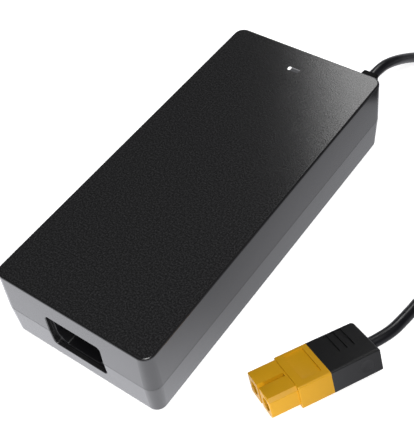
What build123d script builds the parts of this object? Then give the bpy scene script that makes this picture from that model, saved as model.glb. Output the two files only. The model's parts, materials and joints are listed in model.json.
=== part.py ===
from build123d import *

import os
from math import atan, cos, degrees, pi, radians, sin, sqrt, tan

# Battery charger: a mains converter in a two-part case, with an inlet at one end and a
# flexible output lead with a two-pole plug at the other.
# Millimetres, +Z up. The origin is on the surface that the feet stand on, under the middle
# of the case. The mains inlet faces -Y, and the output lead leaves towards +Y.

# ---- Case ------------------------------------------------------------------------------
case_width = 76.0  # across the top face
case_length = 170.1  # along the top face
top_height = 20.7  # parting line to top face
bottom_height = 16.6  # base to parting line
top_flare = 0.46  # how far each side leans out from the top face to the parting line
bottom_lean = 0.75  # how far each side leans in from the parting line to the base
corner_radius = 4.7  # seen from above, at the top face
rim_radius = 1.0
base_edge_radius = 0.8
parting_chamfer = 0.12  # on both shells, so that the parting line is a fine groove
opening_radius = 0.45  # round the inlet's opening
wall = 2.4
roof = 2.4
floor_thickness = 2.2
tongue_depth = 1.5
tongue_thickness = 1.1
fit_gap = 0.1  # clearance between moulded parts that fit into each other

# ---- Feet and case screws --------------------------------------------------------------
foot_radius = 4.5
foot_proud = 1.2
foot_recess = 0.8
screw_inset_x = 7.0
screw_inset_y = 10.55
boss_radius = 3.0
screw_head_radius = 2.8
screw_head_height = 2.2
screw_shank_radius = 1.45
screw_seat_height = 4.3  # above the base
screw_length = 21.0

# ---- Mains inlet, the standard three-pin appliance inlet -------------------------------
inlet_opening_width = 27.4
inlet_opening_height = 18.9
inlet_opening_radius = 2.0
inlet_height = 17.25  # centre of the opening above the base
inlet_cavity_width = 24.8
inlet_cavity_height = 16.6
inlet_cavity_depth = 16.5
inlet_cavity_corner = 4.2
inlet_back = 2.0
inlet_flange = 2.2  # how far the flange reaches past the opening
inlet_flange_thickness = 2.0
flange_setback = 0.55  # both flanges, from the wall's inner face at the parting line
blade_width = 2.0
blade_height = 4.0
blade_spacing = 14.0  # live to neutral
blade_offset = 2.0  # earth blade below, and the others above, the cavity's middle
blade_length = 12.0
tag_length = 5.0

# ---- Indicator window --------------------------------------------------------------------
window_width = 6.0
window_length = 2.3
window_from_back = 13.65
window_flange = 1.2
window_flange_thickness = 1.0

# ---- Circuit board -----------------------------------------------------------------------
board_width = 68.0
board_start = 23.55  # from the inlet end of the case
board_end = 9.05  # from the lead end of the case
board_thickness = 1.6
board_lift = 4.8  # above the case floor
board_notch_width = 11.0
board_notch_length = 9.0
post_radius = 2.6
board_screw_inset = 2.5
sheet_thickness = 0.4

# ---- Output lead -------------------------------------------------------------------------
lead_diameter = 5.0
relief_x = 23.6
relief_height = 19.4  # centre above the base
relief_neck = 9.6
relief_tip_width = 7.6
relief_tip_height = 8.0
relief_reach = 16.45  # how far it stands out of the case
relief_flange = 1.4
relief_flange_thickness = 2.4
relief_slots = 3
coil_x = 80.0
coil_y = 132.0
coil_radius = 27.5  # middle of the turns
coil_columns = 3  # turns side by side in the lowest layer
coil_slack = 0.5

# ---- Output plug, the large standard two-pole size ---------------------------------------
plug_x = 67.8
plug_y = -60.7
plug_heading = radians(60.9)
plug_roll = radians(20.0)  # the lead's twist holds it on one long edge
plug_width = 21.0
plug_height = 10.5
plug_edge = 0.8
nose_length = 11.8
nose_width = 19.2
nose_height = 9.6
nose_corner = 1.4
nose_edge = 0.35
nose_slot_width = 2.0
nose_slot_depth = 2.9
nose_gap_length = 4.0
shroud_length = 13.7
panel_width = 16.1
panel_length = 8.1
panel_depth = 0.6
panel_from_cover = 2.2
panel_shift = 0.75
cover_length = 21.0
cover_waist = 0.3  # how much narrower each side is at the rear end
cover_near_corner = 1.6
cover_far_corner = 3.0
cover_wall = 1.5
cover_back = 3.0
lead_hole_gap = 0.05  # round the lead in the cover's back wall
grip_count = 3
grip_pitch = 3.15
grip_start = 7.8
grip_width = 1.8
grip_length = 11.8
grip_depth = 0.5
grip_shift = 3.4
dimple_radius = 14.0
dimple_depth = 0.5
dimple_from_end = 6.0
plug_wire_radius = 1.1
contact_spacing = 10.6
contact_bore_radius = 2.25
contact_wall = 0.45
contact_setback = 1.2
contact_bore_length = 10.0
contact_length = 27.0
cup_depth = 4.0

# ---- Levels and places worked out from the sizes above -----------------------------------
base_z = foot_proud
parting_z = base_z + bottom_height
roof_z = parting_z + top_height
ceiling_z = roof_z - roof
floor_z = base_z + floor_thickness
board_z = floor_z + board_lift
deck_z = board_z + board_thickness
inlet_z = base_z + inlet_height
relief_z = base_z + relief_height
front_y = -case_length / 2
back_y = case_length / 2
inner_y = case_length / 2 + top_flare - wall
top_draft = degrees(atan(top_flare / top_height))
bottom_draft = degrees(atan(bottom_lean / bottom_height))
screw_x = case_width / 2 - screw_inset_x
screw_y = case_length / 2 - screw_inset_y
screw_seat_z = base_z + screw_seat_height
board_front = front_y + board_start
board_back = back_y - board_end
window_y = back_y - window_from_back

screw_places = [(sx * screw_x, sy * screw_y) for sx in (-1, 1) for sy in (-1, 1)]
post_places = [
    (sx * (board_width / 2 - board_screw_inset), y)
    for sx in (-1, 1)
    for y in (board_front + 3.0, board_back - board_notch_length - 5.0)
]


def finish(piece, label):
    """Name a finished piece and write it."""
    piece.part.label = label
    export_step(piece.part, f"parts/{label}.step")


def lean_at(z):
    """How far the case's side stands outside the top face's edge at a height."""
    if z >= parting_z:
        return top_flare * (roof_z - z) / top_height
    return top_flare - bottom_lean * (parting_z - z) / bottom_height


def case_outline(grow, mode=Mode.ADD):
    """The case seen from above, grown all round."""
    return RectangleRounded(
        case_width + 2 * grow, case_length + 2 * grow, corner_radius + grow, mode=mode
    )


def column(x, y, low, high, radius, mode=Mode.ADD):
    """An upright round column in the open part."""
    with BuildSketch(Plane.XY.offset(low), mode=Mode.PRIVATE) as disc:
        with Locations((x, y)):
            Circle(radius)
    extrude(disc.sketch, amount=high - low, mode=mode)


def block(low, high, mode=Mode.ADD):
    """A box in the open part, from its lowest corner to its highest."""
    with Locations(tuple((a + b) / 2 for a, b in zip(low, high))):
        Box(*(b - a for a, b in zip(low, high)), mode=mode)


def wire(points, bend, radius):
    """A round wire in the open part, along straight runs with rounded corners."""
    with BuildLine(mode=Mode.PRIVATE) as path:
        FilletPolyline(*points, radius=bend)
    start = Plane(origin=path.line @ 0, z_dir=path.line % 0)
    with BuildSketch(start, mode=Mode.PRIVATE) as section:
        Circle(radius)
    sweep(section.sketch, path=path.line)


def wall_openings():
    """Cut the inlet's and the lead's openings through the end walls of the open part."""
    reach = 3.0
    depth = reach + 2 * wall
    front = Plane.XZ.offset(case_length / 2 + reach)
    with BuildSketch(front, mode=Mode.PRIVATE) as inlet_opening:
        with Locations((0, inlet_z)):
            RectangleRounded(inlet_opening_width, inlet_opening_height, inlet_opening_radius)
    extrude(inlet_opening.sketch, amount=-depth, mode=Mode.SUBTRACT)
    back = Plane.XZ.offset(-case_length / 2 - reach)
    with BuildSketch(back, mode=Mode.PRIVATE) as relief_opening:
        with Locations((relief_x, relief_z)):
            Rectangle(relief_neck + 2 * fit_gap, relief_neck + 2 * fit_gap)
    extrude(relief_opening.sketch, amount=depth, mode=Mode.SUBTRACT)


def outer_opening_edges(shell):
    """The edges of a shell's inlet opening where it meets the outside of the end wall."""
    reach = inlet_opening_width / 2 + 0.1
    outside = shell.edges().filter_by(
        lambda e: e.center().Y < front_y and abs(e.center().X) < reach
    )
    return outside.filter_by(
        lambda e: abs(e.center().Z - inlet_z) < inlet_opening_height / 2 + 0.1
        and abs(e.center().Z - parting_z) > parting_chamfer + 0.1
    )


# ---- Case shells -------------------------------------------------------------------------
rib_thickness = 1.6
inlet_body_width = inlet_opening_width - 2 * fit_gap
inlet_body_height = inlet_opening_height - 2 * fit_gap
inlet_flange_y = -inner_y + flange_setback
inlet_rib_y = inlet_flange_y + inlet_flange_thickness + fit_gap
inlet_rib_x = inlet_body_width / 2 + fit_gap
relief_flange_y = inner_y - flange_setback
relief_half = relief_neck / 2 + relief_flange
relief_rib_y = relief_flange_y - relief_flange_thickness - fit_gap


def holding_ribs(low, high):
    """Ribs behind the inlet's flange and the strain relief's flange, between two levels."""
    for side in (-1, 1):
        inner, outer = side * inlet_rib_x, side * (inlet_rib_x + 4.0)
        x0, x1 = min(inner, outer), max(inner, outer)
        block((x0, inlet_rib_y, low), (x1, inlet_rib_y + rib_thickness, high))
    rib_x = relief_x - relief_half
    block((rib_x, relief_rib_y - rib_thickness, low), (rib_x + 3.0, relief_rib_y, high))


with BuildPart() as top_case:
    with BuildSketch(Plane.XY.offset(parting_z)):
        case_outline(top_flare)
    extrude(amount=top_height, taper=top_draft)
    fillet(top_case.faces().sort_by(Axis.Z)[-1].edges(), rim_radius)
    chamfer(top_case.faces().sort_by(Axis.Z)[0].edges(), parting_chamfer)
    with BuildSketch(Plane.XY.offset(parting_z)):
        case_outline(top_flare - wall)
    extrude(amount=top_height - roof, taper=top_draft, mode=Mode.SUBTRACT)
    with BuildSketch(Plane.XY.offset(parting_z - tongue_depth)):
        case_outline(top_flare - wall + tongue_thickness)
        case_outline(top_flare - wall, mode=Mode.SUBTRACT)
    extrude(amount=tongue_depth)
    for x, y in screw_places:
        column(x, y, parting_z, ceiling_z, boss_radius)
    holding_ribs(parting_z, ceiling_z)
    wall_openings()
    fillet(outer_opening_edges(top_case), opening_radius)
    for x, y in screw_places:
        pilot_top = screw_seat_z + screw_length + 1.0
        column(x, y, parting_z, pilot_top, screw_shank_radius + 0.05, Mode.SUBTRACT)
    with BuildSketch(Plane.XY.offset(ceiling_z)):
        with Locations((0, window_y)):
            Rectangle(window_width + 2 * fit_gap, window_length + 2 * fit_gap)
    extrude(amount=2 * roof, mode=Mode.SUBTRACT)

with BuildPart() as bottom_case:
    with BuildSketch(Plane.XY.offset(base_z)):
        case_outline(lean_at(base_z))
    extrude(amount=bottom_height, taper=-bottom_draft)
    fillet(bottom_case.faces().sort_by(Axis.Z)[0].edges(), base_edge_radius)
    chamfer(bottom_case.faces().sort_by(Axis.Z)[-1].edges(), parting_chamfer)
    with BuildSketch(Plane.XY.offset(floor_z)):
        case_outline(lean_at(floor_z) - wall)
    extrude(amount=parting_z - floor_z, taper=-bottom_draft, mode=Mode.SUBTRACT)
    with BuildSketch(Plane.XY.offset(parting_z - tongue_depth - fit_gap)):
        case_outline(top_flare - wall + tongue_thickness + fit_gap)
    extrude(amount=2 * tongue_depth, mode=Mode.SUBTRACT)
    for x, y in screw_places:
        column(x, y, floor_z, parting_z, boss_radius)
        column(x, y, floor_z, screw_seat_z + 2.0, screw_head_radius + 1.8)
    for x, y in post_places:
        column(x, y, floor_z, board_z, post_radius)
    holding_ribs(floor_z, parting_z)
    wall_openings()
    fillet(outer_opening_edges(bottom_case), opening_radius)
    for x, y in screw_places:
        column(x, y, base_z - 1.0, base_z + foot_recess, foot_radius + fit_gap, Mode.SUBTRACT)
        column(x, y, base_z, screw_seat_z, screw_head_radius + 0.3, Mode.SUBTRACT)
        column(x, y, screw_seat_z, parting_z, screw_shank_radius + 0.2, Mode.SUBTRACT)
    for x, y in post_places:
        column(x, y, board_z - 4.0, board_z, 1.15, Mode.SUBTRACT)

with BuildPart() as light_pipe:
    with Locations((0, window_y, ceiling_z)):
        Box(
            window_width + 2 * window_flange,
            window_length + 2 * window_flange,
            window_flange_thickness,
            align=(Align.CENTER, Align.CENTER, Align.MAX),
        )
        Box(
            window_width,
            window_length,
            roof - fit_gap,
            align=(Align.CENTER, Align.CENTER, Align.MIN),
        )
    fillet(light_pipe.edges().filter_by(Axis.Z).group_by(Axis.Z)[-1], 0.3)

with BuildPart() as rubber_feet:
    for x, y in screw_places:
        column(x, y, 0.0, base_z + foot_recess, foot_radius)
    fillet(rubber_feet.edges().group_by(Axis.Z)[0], 0.4)

with BuildPart() as case_screws:
    for x, y in screw_places:
        column(x, y, screw_seat_z - screw_head_height, screw_seat_z, screw_head_radius)
        column(x, y, screw_seat_z, screw_seat_z + screw_length, screw_shank_radius)
    for x, y in screw_places:
        low = screw_seat_z - screw_head_height
        column(x, y, low, low + 1.2, 1.1, Mode.SUBTRACT)

# ---- Mains inlet -------------------------------------------------------------------------
inlet_face_y = front_y - top_flare + wall  # the collar's rim, seen inside the opening
cavity_end_y = inlet_face_y + inlet_cavity_depth
inlet_back_y = cavity_end_y + inlet_back
blade_high_z = inlet_z + blade_offset
blade_low_z = inlet_z - blade_offset
tag_y = inlet_back_y + tag_length
line_places = [(-blade_spacing / 2, blade_high_z), (blade_spacing / 2, blade_high_z)]
earth_place = (0.0, blade_low_z)

with BuildPart() as inlet_housing:
    with BuildSketch(Plane.XZ.offset(-inlet_face_y)):
        with Locations((0, inlet_z)):
            RectangleRounded(
                inlet_body_width, inlet_body_height, inlet_opening_radius - fit_gap
            )
    extrude(amount=-(inlet_back_y - inlet_face_y))
    with BuildSketch(Plane.XZ.offset(-inlet_flange_y)):
        with Locations((0, inlet_z)):
            Rectangle(
                inlet_body_width + 2 * inlet_flange, inlet_body_height + 2 * inlet_flange
            )
    extrude(amount=-inlet_flange_thickness)
    with BuildSketch(Plane.XZ.offset(-inlet_face_y)) as cavity:
        with Locations((0, inlet_z)):
            Rectangle(inlet_cavity_width, inlet_cavity_height)
        chamfer(cavity.vertices().group_by(Axis.Z)[0], inlet_cavity_corner)
        fillet(cavity.vertices().group_by(Axis.Z)[-1], 1.0)
    extrude(amount=-inlet_cavity_depth, mode=Mode.SUBTRACT)
    with BuildSketch(Plane.XZ.offset(-cavity_end_y)):
        with Locations(*line_places, earth_place):
            Rectangle(blade_width, blade_height)
    extrude(amount=-2 * inlet_back, mode=Mode.SUBTRACT)


def blades(places):
    """Flat contact blades in the open part, each with a narrower tag behind the housing."""
    tip = Plane.XZ.offset(-(cavity_end_y - blade_length))
    with BuildSketch(tip, mode=Mode.PRIVATE) as blade:
        with Locations(*places):
            Rectangle(blade_width, blade_height)
    extrude(blade.sketch, amount=-(blade_length + inlet_back))
    with BuildSketch(Plane.XZ.offset(-inlet_back_y), mode=Mode.PRIVATE) as tag:
        with Locations(*places):
            Rectangle(blade_width / 2, blade_height * 0.75)
    extrude(tag.sketch, amount=-tag_length)


with BuildPart() as inlet_line_blades:
    blades(line_places)
    tips = inlet_line_blades.faces().filter_by(Axis.Y).sort_by(Axis.Y)[:2]
    chamfer(tips.edges(), 0.45)

with BuildPart() as inlet_earth_blade:
    blades([earth_place])
    chamfer(inlet_earth_blade.faces().filter_by(Axis.Y).sort_by(Axis.Y)[0].edges(), 0.45)

# ---- Circuit board and its insulation ----------------------------------------------------
board_middle = (board_front + board_back) / 2
board_length = board_back - board_front


def board_outline(shrink):
    """The board seen from above, with its lead-end corners cut away round the screws."""
    with Locations((0, board_middle)):
        Rectangle(board_width - 2 * shrink, board_length - 2 * shrink)
    for side in (-1, 1):
        with Locations((side * board_width / 2, board_back)):
            Rectangle(
                2 * (board_notch_width + shrink),
                2 * (board_notch_length + shrink),
                mode=Mode.SUBTRACT,
            )


with BuildPart() as circuit_board:
    with BuildSketch(Plane.XY.offset(board_z)):
        board_outline(0.0)
        with Locations(*post_places):
            Circle(1.3, mode=Mode.SUBTRACT)
    extrude(amount=board_thickness)

with BuildPart() as board_screws:
    for x, y in post_places:
        column(x, y, deck_z, deck_z + 1.6, 2.2)
        column(x, y, board_z - 3.5, deck_z, 1.1)

with BuildPart() as insulation_sheet:
    with BuildSketch(Plane.XY.offset(floor_z)):
        board_outline(2.0)
        with Locations(*post_places):
            Circle(post_radius + 0.5, mode=Mode.SUBTRACT)
    extrude(amount=sheet_thickness)

# ---- Mains wires from the inlet's tags down to the board ---------------------------------
wire_radius = 1.1
wire_land_y = tag_y + 3.6


def mains_wire(place):
    """A short wire in the open part, from a tag's end down to the board."""
    x, z = place
    points = [(x, tag_y, z), (x, wire_land_y, z), (x, wire_land_y, deck_z)]
    wire(points, 2.4, wire_radius)


with BuildPart() as live_wire:
    mains_wire(line_places[0])
with BuildPart() as neutral_wire:
    mains_wire(line_places[1])
with BuildPart() as earth_wire:
    mains_wire(earth_place)

# ---- Fuse --------------------------------------------------------------------------------
fuse_x, fuse_y = -27.0, front_y + 41.05
fuse_radius = 2.6
fuse_length = 20.0
fuse_cap_length = 4.0
fuse_z = deck_z + 1.0 + fuse_radius


def rod_along_y(x, start, length, z, radius, mode=Mode.ADD):
    """A round rod in the open part, lying along +Y."""
    with BuildSketch(Plane.XZ.offset(-start), mode=Mode.PRIVATE) as disc:
        with Locations((x, z)):
            Circle(radius)
    extrude(disc.sketch, amount=-length, mode=mode)


with BuildPart() as fuse_tube:
    inside = fuse_length - 2 * fuse_cap_length
    rod_along_y(fuse_x, fuse_y - inside / 2, inside, fuse_z, fuse_radius - 0.2)

with BuildPart() as fuse_caps:
    rod_along_y(fuse_x, fuse_y - fuse_length / 2, fuse_cap_length, fuse_z, fuse_radius)
    rod_along_y(fuse_x, fuse_y + inside / 2, fuse_cap_length, fuse_z, fuse_radius)

with BuildPart() as fuse_clips:
    for y in (fuse_y - fuse_length / 2, fuse_y + inside / 2):
        outer = fuse_radius + 0.9
        block((fuse_x - outer, y + 0.6, deck_z), (fuse_x + outer, y + 3.4, fuse_z + 1.6))
    for y in (fuse_y - fuse_length / 2, fuse_y + inside / 2):
        inner = fuse_radius + 0.02
        low, high = (fuse_x - inner, y, fuse_z), (fuse_x + inner, y + 4.0, fuse_z + 3.0)
        rod_along_y(fuse_x, y, fuse_cap_length, fuse_z, inner, Mode.SUBTRACT)
        block(low, high, Mode.SUBTRACT)


# ---- Discs standing on two legs: thermistor, varistor, suppression capacitors ------------
def standing_disc(x, y, radius, thickness, lead_gap):
    """An upright disc in the open part, its flat sides facing +-Y, on two legs."""
    leg = 0.35
    stand = 1.2
    centre = deck_z + stand + radius
    rod_along_y(x, y - thickness / 2, thickness, centre, radius)
    for side in (-1, 1):
        column(x + side * lead_gap / 2, y, deck_z, centre, leg)


disc_row_y = front_y + 33.05

with BuildPart() as inrush_thermistor:
    standing_disc(-15.2, disc_row_y, 6.5, 5.0, 7.5)
with BuildPart() as varistor:
    standing_disc(0.0, disc_row_y, 5.0, 4.0, 5.0)
with BuildPart() as y_capacitors:
    standing_disc(13.0, disc_row_y, 3.8, 3.2, 5.0)
    standing_disc(22.5, disc_row_y, 3.8, 3.2, 5.0)

filter_y = front_y + 48.05

with BuildPart() as x_capacitor:
    with Locations((-10.5, filter_y, deck_z)):
        Box(24.0, 11.0, 20.0, align=(Align.CENTER, Align.CENTER, Align.MIN))
    fillet(x_capacitor.edges().filter_by(Axis.Z), 0.8)


# ---- Ring cores and their windings -------------------------------------------------------
def ring_core(x, y, z, inner, outer, height):
    """A flat ring in the open part, standing on a level."""
    with BuildSketch(Plane.XY.offset(z), mode=Mode.PRIVATE) as ring:
        with Locations((x, y)):
            Circle(outer)
            Circle(inner, mode=Mode.SUBTRACT)
    extrude(ring.sketch, amount=height)


def ring_winding(x, y, z, inner, outer, height, copper, arcs, sweep_angle):
    """Windings as closed sleeves round stretches of a ring core, in the open part."""
    middle = (inner + outer) / 2
    gap = 0.1
    for turn in arcs:
        radial = Plane(
            origin=(x, y, 0),
            x_dir=(cos(radians(turn)), sin(radians(turn)), 0),
            z_dir=(sin(radians(turn)), -cos(radians(turn)), 0),
        )
        with BuildSketch(radial, mode=Mode.PRIVATE) as section:
            with Locations((middle, z + height / 2)):
                Rectangle(outer - inner + 2 * copper, height + 2 * copper)
                Rectangle(outer - inner + 2 * gap, height + 2 * gap, mode=Mode.SUBTRACT)
        spin = Axis((x, y, 0), (0, 0, 1))
        revolve(section.sketch, axis=spin, revolution_arc=sweep_angle)


choke = (14.0, filter_y, deck_z + 3.2, 5.0, 9.5, 9.0)
with BuildPart() as choke_core:
    ring_core(*choke)
with BuildPart() as choke_winding:
    ring_winding(*choke, 1.2, (20, 200), 140)
with BuildPart() as choke_base:
    with Locations((choke[0], choke[1], deck_z)):
        Box(21.0, 21.0, 2.0, align=(Align.CENTER, Align.CENTER, Align.MIN))
    fillet(choke_base.edges().filter_by(Axis.Z), 2.0)

boost = (3.0, front_y + 75.05, deck_z + 1.9, 7.0, 14.0, 12.0)
with BuildPart() as boost_inductor_core:
    ring_core(*boost)
with BuildPart() as boost_inductor_winding:
    ring_winding(*boost, 1.8, (30,), 300)

smoothing = (18.0, back_y - 35.05, deck_z + 1.5, 4.0, 9.0, 8.0)
with BuildPart() as output_choke_core:
    ring_core(*smoothing)
with BuildPart() as output_choke_winding:
    ring_winding(*smoothing, 1.4, (30,), 300)

# ---- Power packages on their heatsinks ---------------------------------------------------
sink_thickness = 2.2
sink_x = board_width / 2 - 1.0  # outer face of both heatsinks
sink_face = sink_x - sink_thickness
sink_top = ceiling_z - 1.6
sink_lip = 9.0
package_gap = 0.05
package_low = deck_z + 3.2
package_hole = package_low + 12.0
spreader_thickness = 0.8

rectifier_y = front_y + 52.05
switch_ys = (front_y + 75.05, front_y + 93.05)
output_rectifier_ys = (back_y - 57.05, back_y - 39.05)


def heatsink(side, start, end, holes):
    """An upright plate in the open part, its top turned over to meet the case's spreader."""
    x0, x1 = sorted((side * sink_face, side * sink_x))
    lip0, lip1 = sorted((side * (sink_x - sink_lip), side * sink_x))
    block((x0, start, deck_z), (x1, end, sink_top))
    block((lip0, start, sink_top - 1.8), (lip1, end, sink_top))
    for y in holes:
        across = Plane(origin=(x0 - 1.0, y, package_hole), z_dir=(1, 0, 0))
        with BuildSketch(across, mode=Mode.PRIVATE) as hole:
            Circle(1.55)
        extrude(hole.sketch, amount=sink_thickness + 2.0, mode=Mode.SUBTRACT)


def power_package(side, y, width, thickness, height, legs):
    """A power package in the open part: a body against the heatsink, on thin legs."""
    face = sink_face - package_gap
    x0, x1 = sorted((side * face, side * (face - thickness)))
    block((x0, y - width / 2, package_low), (x1, y + width / 2, package_low + height))
    across = Plane(origin=(x0 - 1.0, y, package_hole), z_dir=(1, 0, 0))
    with BuildSketch(across, mode=Mode.PRIVATE) as hole:
        Circle(1.6)
    extrude(hole.sketch, amount=thickness + 2.0, mode=Mode.SUBTRACT)
    leg_x = side * (face - thickness / 2)
    pitch = width / (legs + 0.5)
    for n in range(legs):
        leg_y = y + (n - (legs - 1) / 2) * pitch
        block((leg_x - 0.3, leg_y - 0.4, deck_z), (leg_x + 0.3, leg_y + 0.4, package_low))


def package_screw(side, y, thickness):
    """A pan-head screw in the open part, through a package into its heatsink."""
    face = sink_face - package_gap
    head_x = side * (face - thickness)
    outward = Plane(origin=(head_x, y, package_hole), z_dir=(-side, 0, 0))
    with BuildSketch(outward, mode=Mode.PRIVATE) as head:
        Circle(2.7)
    extrude(head.sketch, amount=1.8)
    with BuildSketch(outward, mode=Mode.PRIVATE) as shank:
        Circle(1.4)
    extrude(shank.sketch, amount=-(thickness + package_gap + sink_thickness))


with BuildPart() as primary_heatsink:
    heatsink(1, rectifier_y - 13.0, switch_ys[1] + 9.0, (rectifier_y, *switch_ys))
with BuildPart() as secondary_heatsink:
    low, high = output_rectifier_ys
    heatsink(-1, low - 10.0, high + 9.0, output_rectifier_ys)
with BuildPart() as bridge_rectifier:
    power_package(1, rectifier_y, 22.0, 3.6, 18.0, 4)
with BuildPart() as switch_transistors:
    for y in switch_ys:
        power_package(1, y, 10.2, 4.5, 15.5, 3)
with BuildPart() as output_rectifiers:
    for y in output_rectifier_ys:
        power_package(-1, y, 10.2, 4.5, 15.5, 3)
with BuildPart() as heatsink_screws:
    package_screw(1, rectifier_y, 3.6)
    for y in switch_ys:
        package_screw(1, y, 4.5)
    for y in output_rectifier_ys:
        package_screw(-1, y, 4.5)

with BuildPart() as heat_spreader:
    block(
        (-sink_x, rectifier_y - 14.0, ceiling_z - spreader_thickness),
        (sink_x, output_rectifier_ys[1] + 10.0, ceiling_z),
    )
with BuildPart() as thermal_pads:
    pad = (sink_top, ceiling_z - spreader_thickness)
    x0, x1 = sink_x - sink_lip, sink_x
    block((x0, rectifier_y - 12.0, pad[0]), (x1, switch_ys[1] + 8.0, pad[1]))
    low, high = output_rectifier_ys
    block((-x1, low - 9.0, pad[0]), (-x0, high + 8.0, pad[1]))

# ---- Capacitors --------------------------------------------------------------------------
bulk_radius = 9.0
bulk_length = 36.0
bulk_x = -23.0
bulk_start = front_y + 58.05
output_cap_radius = 5.0
output_cap_height = 20.0
output_cap_pitch = 10.6

with BuildPart() as bulk_capacitor:
    bulk_z = deck_z + bulk_radius + 0.1
    rod_along_y(bulk_x, bulk_start, bulk_length, bulk_z, bulk_radius)
    fillet(bulk_capacitor.edges(), 0.9)
    with BuildSketch(Plane.XZ.offset(-(bulk_start + 3.5))):
        with Locations((bulk_x, bulk_z)):
            Circle(bulk_radius + 1.0)
            Circle(bulk_radius - 0.6, mode=Mode.SUBTRACT)
    extrude(amount=-1.2, mode=Mode.SUBTRACT)

with BuildPart() as output_capacitors:
    for n in range(3):
        x = -19.5 + n * output_cap_pitch
        column(x, back_y - 34.05, deck_z, deck_z + output_cap_height, output_cap_radius)
    fillet(output_capacitors.edges().group_by(Axis.Z)[-1], 0.6)

# ---- Transformer -------------------------------------------------------------------------
trafo_x = 0.0
trafo_y = back_y - 60.05
trafo_base_height = 2.5
trafo_core_z = deck_z + trafo_base_height
trafo_core = (32.0, 22.0, 20.0)
trafo_window_radius = 11.8
trafo_window_height = 12.4
trafo_post_radius = 5.2
trafo_middle_z = trafo_core_z + trafo_core[2] / 2

with BuildPart() as transformer_core:
    with Locations((trafo_x, trafo_y, trafo_middle_z)):
        Box(*trafo_core)
    with BuildSketch(Plane.XY.offset(trafo_middle_z - trafo_window_height / 2)):
        with Locations((trafo_x, trafo_y)):
            Circle(trafo_window_radius)
            Circle(trafo_post_radius, mode=Mode.SUBTRACT)
    extrude(amount=trafo_window_height, mode=Mode.SUBTRACT)

with BuildPart() as transformer_bobbin:
    low = trafo_middle_z - trafo_window_height / 2 + fit_gap
    high = trafo_middle_z + trafo_window_height / 2 - fit_gap
    column(trafo_x, trafo_y, low, low + 0.9, trafo_window_radius - 0.2)
    column(trafo_x, trafo_y, high - 0.9, high, trafo_window_radius - 0.2)
    column(trafo_x, trafo_y, low, high, trafo_post_radius + 1.0)
    column(trafo_x, trafo_y, low, high, trafo_post_radius + fit_gap, Mode.SUBTRACT)

with BuildPart() as transformer_winding:
    column(trafo_x, trafo_y, low + 0.95, high - 0.95, trafo_window_radius - 0.6)
    hollow = trafo_post_radius + 1.05
    column(trafo_x, trafo_y, low + 0.95, high - 0.95, hollow, Mode.SUBTRACT)

with BuildPart() as transformer_base:
    with Locations((trafo_x, trafo_y, deck_z)):
        Box(
            trafo_core[0],
            trafo_core[1] + 6.0,
            trafo_base_height,
            align=(Align.CENTER, Align.CENTER, Align.MIN),
        )
    fillet(transformer_base.edges().filter_by(Axis.Z), 1.5)

# ---- Small parts on the board ------------------------------------------------------------
with BuildPart() as shunt_resistor:
    with BuildSketch(Plane.XZ.offset(-(back_y - 19.05))):
        with Locations((4.0, deck_z + 2.5)):
            Rectangle(14.0, 5.0)
        with Locations((4.0, deck_z + 2.0)):
            Rectangle(12.0, 4.2, mode=Mode.SUBTRACT)
    extrude(amount=2.0, both=True)

with BuildPart() as optocouplers:
    for y in (back_y - 68.05, back_y - 60.05):
        with Locations((23.0, y, deck_z)):
            Box(6.5, 4.6, 3.6, align=(Align.CENTER, Align.CENTER, Align.MIN))

control_x = board_width / 2 - 3.5
control_y = back_y - 37.05
with BuildPart() as control_board:
    block(
        (control_x, control_y - 11.0, deck_z + 0.3), (control_x + 1.0, control_y + 11.0, 30.0)
    )
with BuildPart() as control_header:
    block((control_x - 2.5, control_y - 8.0, deck_z), (control_x, control_y + 8.0, deck_z + 2.5))
with BuildPart() as charge_controller:
    block((control_x - 1.2, control_y - 4.0, 18.0), (control_x, control_y + 4.0, 26.0))

# ---- Indicator lights under the window ---------------------------------------------------
led_size = (2.6, 2.0, 5.0)
led_top = ceiling_z - window_flange_thickness - 0.2
led_low = led_top - led_size[2]


def indicator(x):
    """A flat-topped light in the open part, on top of its holder."""
    with Locations((x, window_y, led_low)):
        Box(*led_size, align=(Align.CENTER, Align.CENTER, Align.MIN))


with BuildPart() as charging_light:
    indicator(-window_width / 4)
with BuildPart() as charged_light:
    indicator(window_width / 4)
with BuildPart() as light_holder:
    with Locations((0, window_y, deck_z)):
        Box(
            window_width + 1.0,
            window_length + 1.7,
            led_low - deck_z,
            align=(Align.CENTER, Align.CENTER, Align.MIN),
        )

# ---- Strain relief and output wires ------------------------------------------------------
relief_end_y = back_y + relief_reach
boot_start_y = back_y + top_flare + fit_gap

with BuildPart() as strain_relief:
    with BuildSketch(Plane.XZ.offset(-(relief_flange_y - relief_flange_thickness))):
        with Locations((relief_x, relief_z)):
            Rectangle(2 * relief_half, 2 * relief_half)
    extrude(amount=-relief_flange_thickness)
    with BuildSketch(Plane.XZ.offset(-relief_flange_y)):
        with Locations((relief_x, relief_z)):
            Rectangle(relief_neck, relief_neck)
    extrude(amount=-(boot_start_y - relief_flange_y))
    with BuildSketch(Plane.XZ.offset(-boot_start_y)):
        with Locations((relief_x, relief_z)):
            RectangleRounded(relief_neck, relief_neck, 1.2)
    with BuildSketch(Plane.XZ.offset(-relief_end_y)):
        with Locations((relief_x, relief_z)):
            RectangleRounded(relief_tip_width, relief_tip_height, 1.2)
    loft()
    fillet(strain_relief.faces().sort_by(Axis.Y)[-1].edges(), 0.4)
    slot_pitch = (relief_reach - 4.0) / relief_slots
    for n in range(relief_slots):
        y = boot_start_y + 1.2 + n * slot_pitch
        for side in (-1, 1):
            edge = relief_x + side * relief_neck / 2
            near, far = sorted((edge, edge - side * (relief_neck - lead_diameter) / 2 * 0.8))
            low = (near - 1.0 * (side < 0), y, relief_z - relief_neck)
            high = (far + 1.0 * (side > 0), y + 1.2, relief_z + relief_neck)
            block(low, high, Mode.SUBTRACT)

core_radius = 1.0
wire_land = (back_y - 20.55, deck_z)


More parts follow.
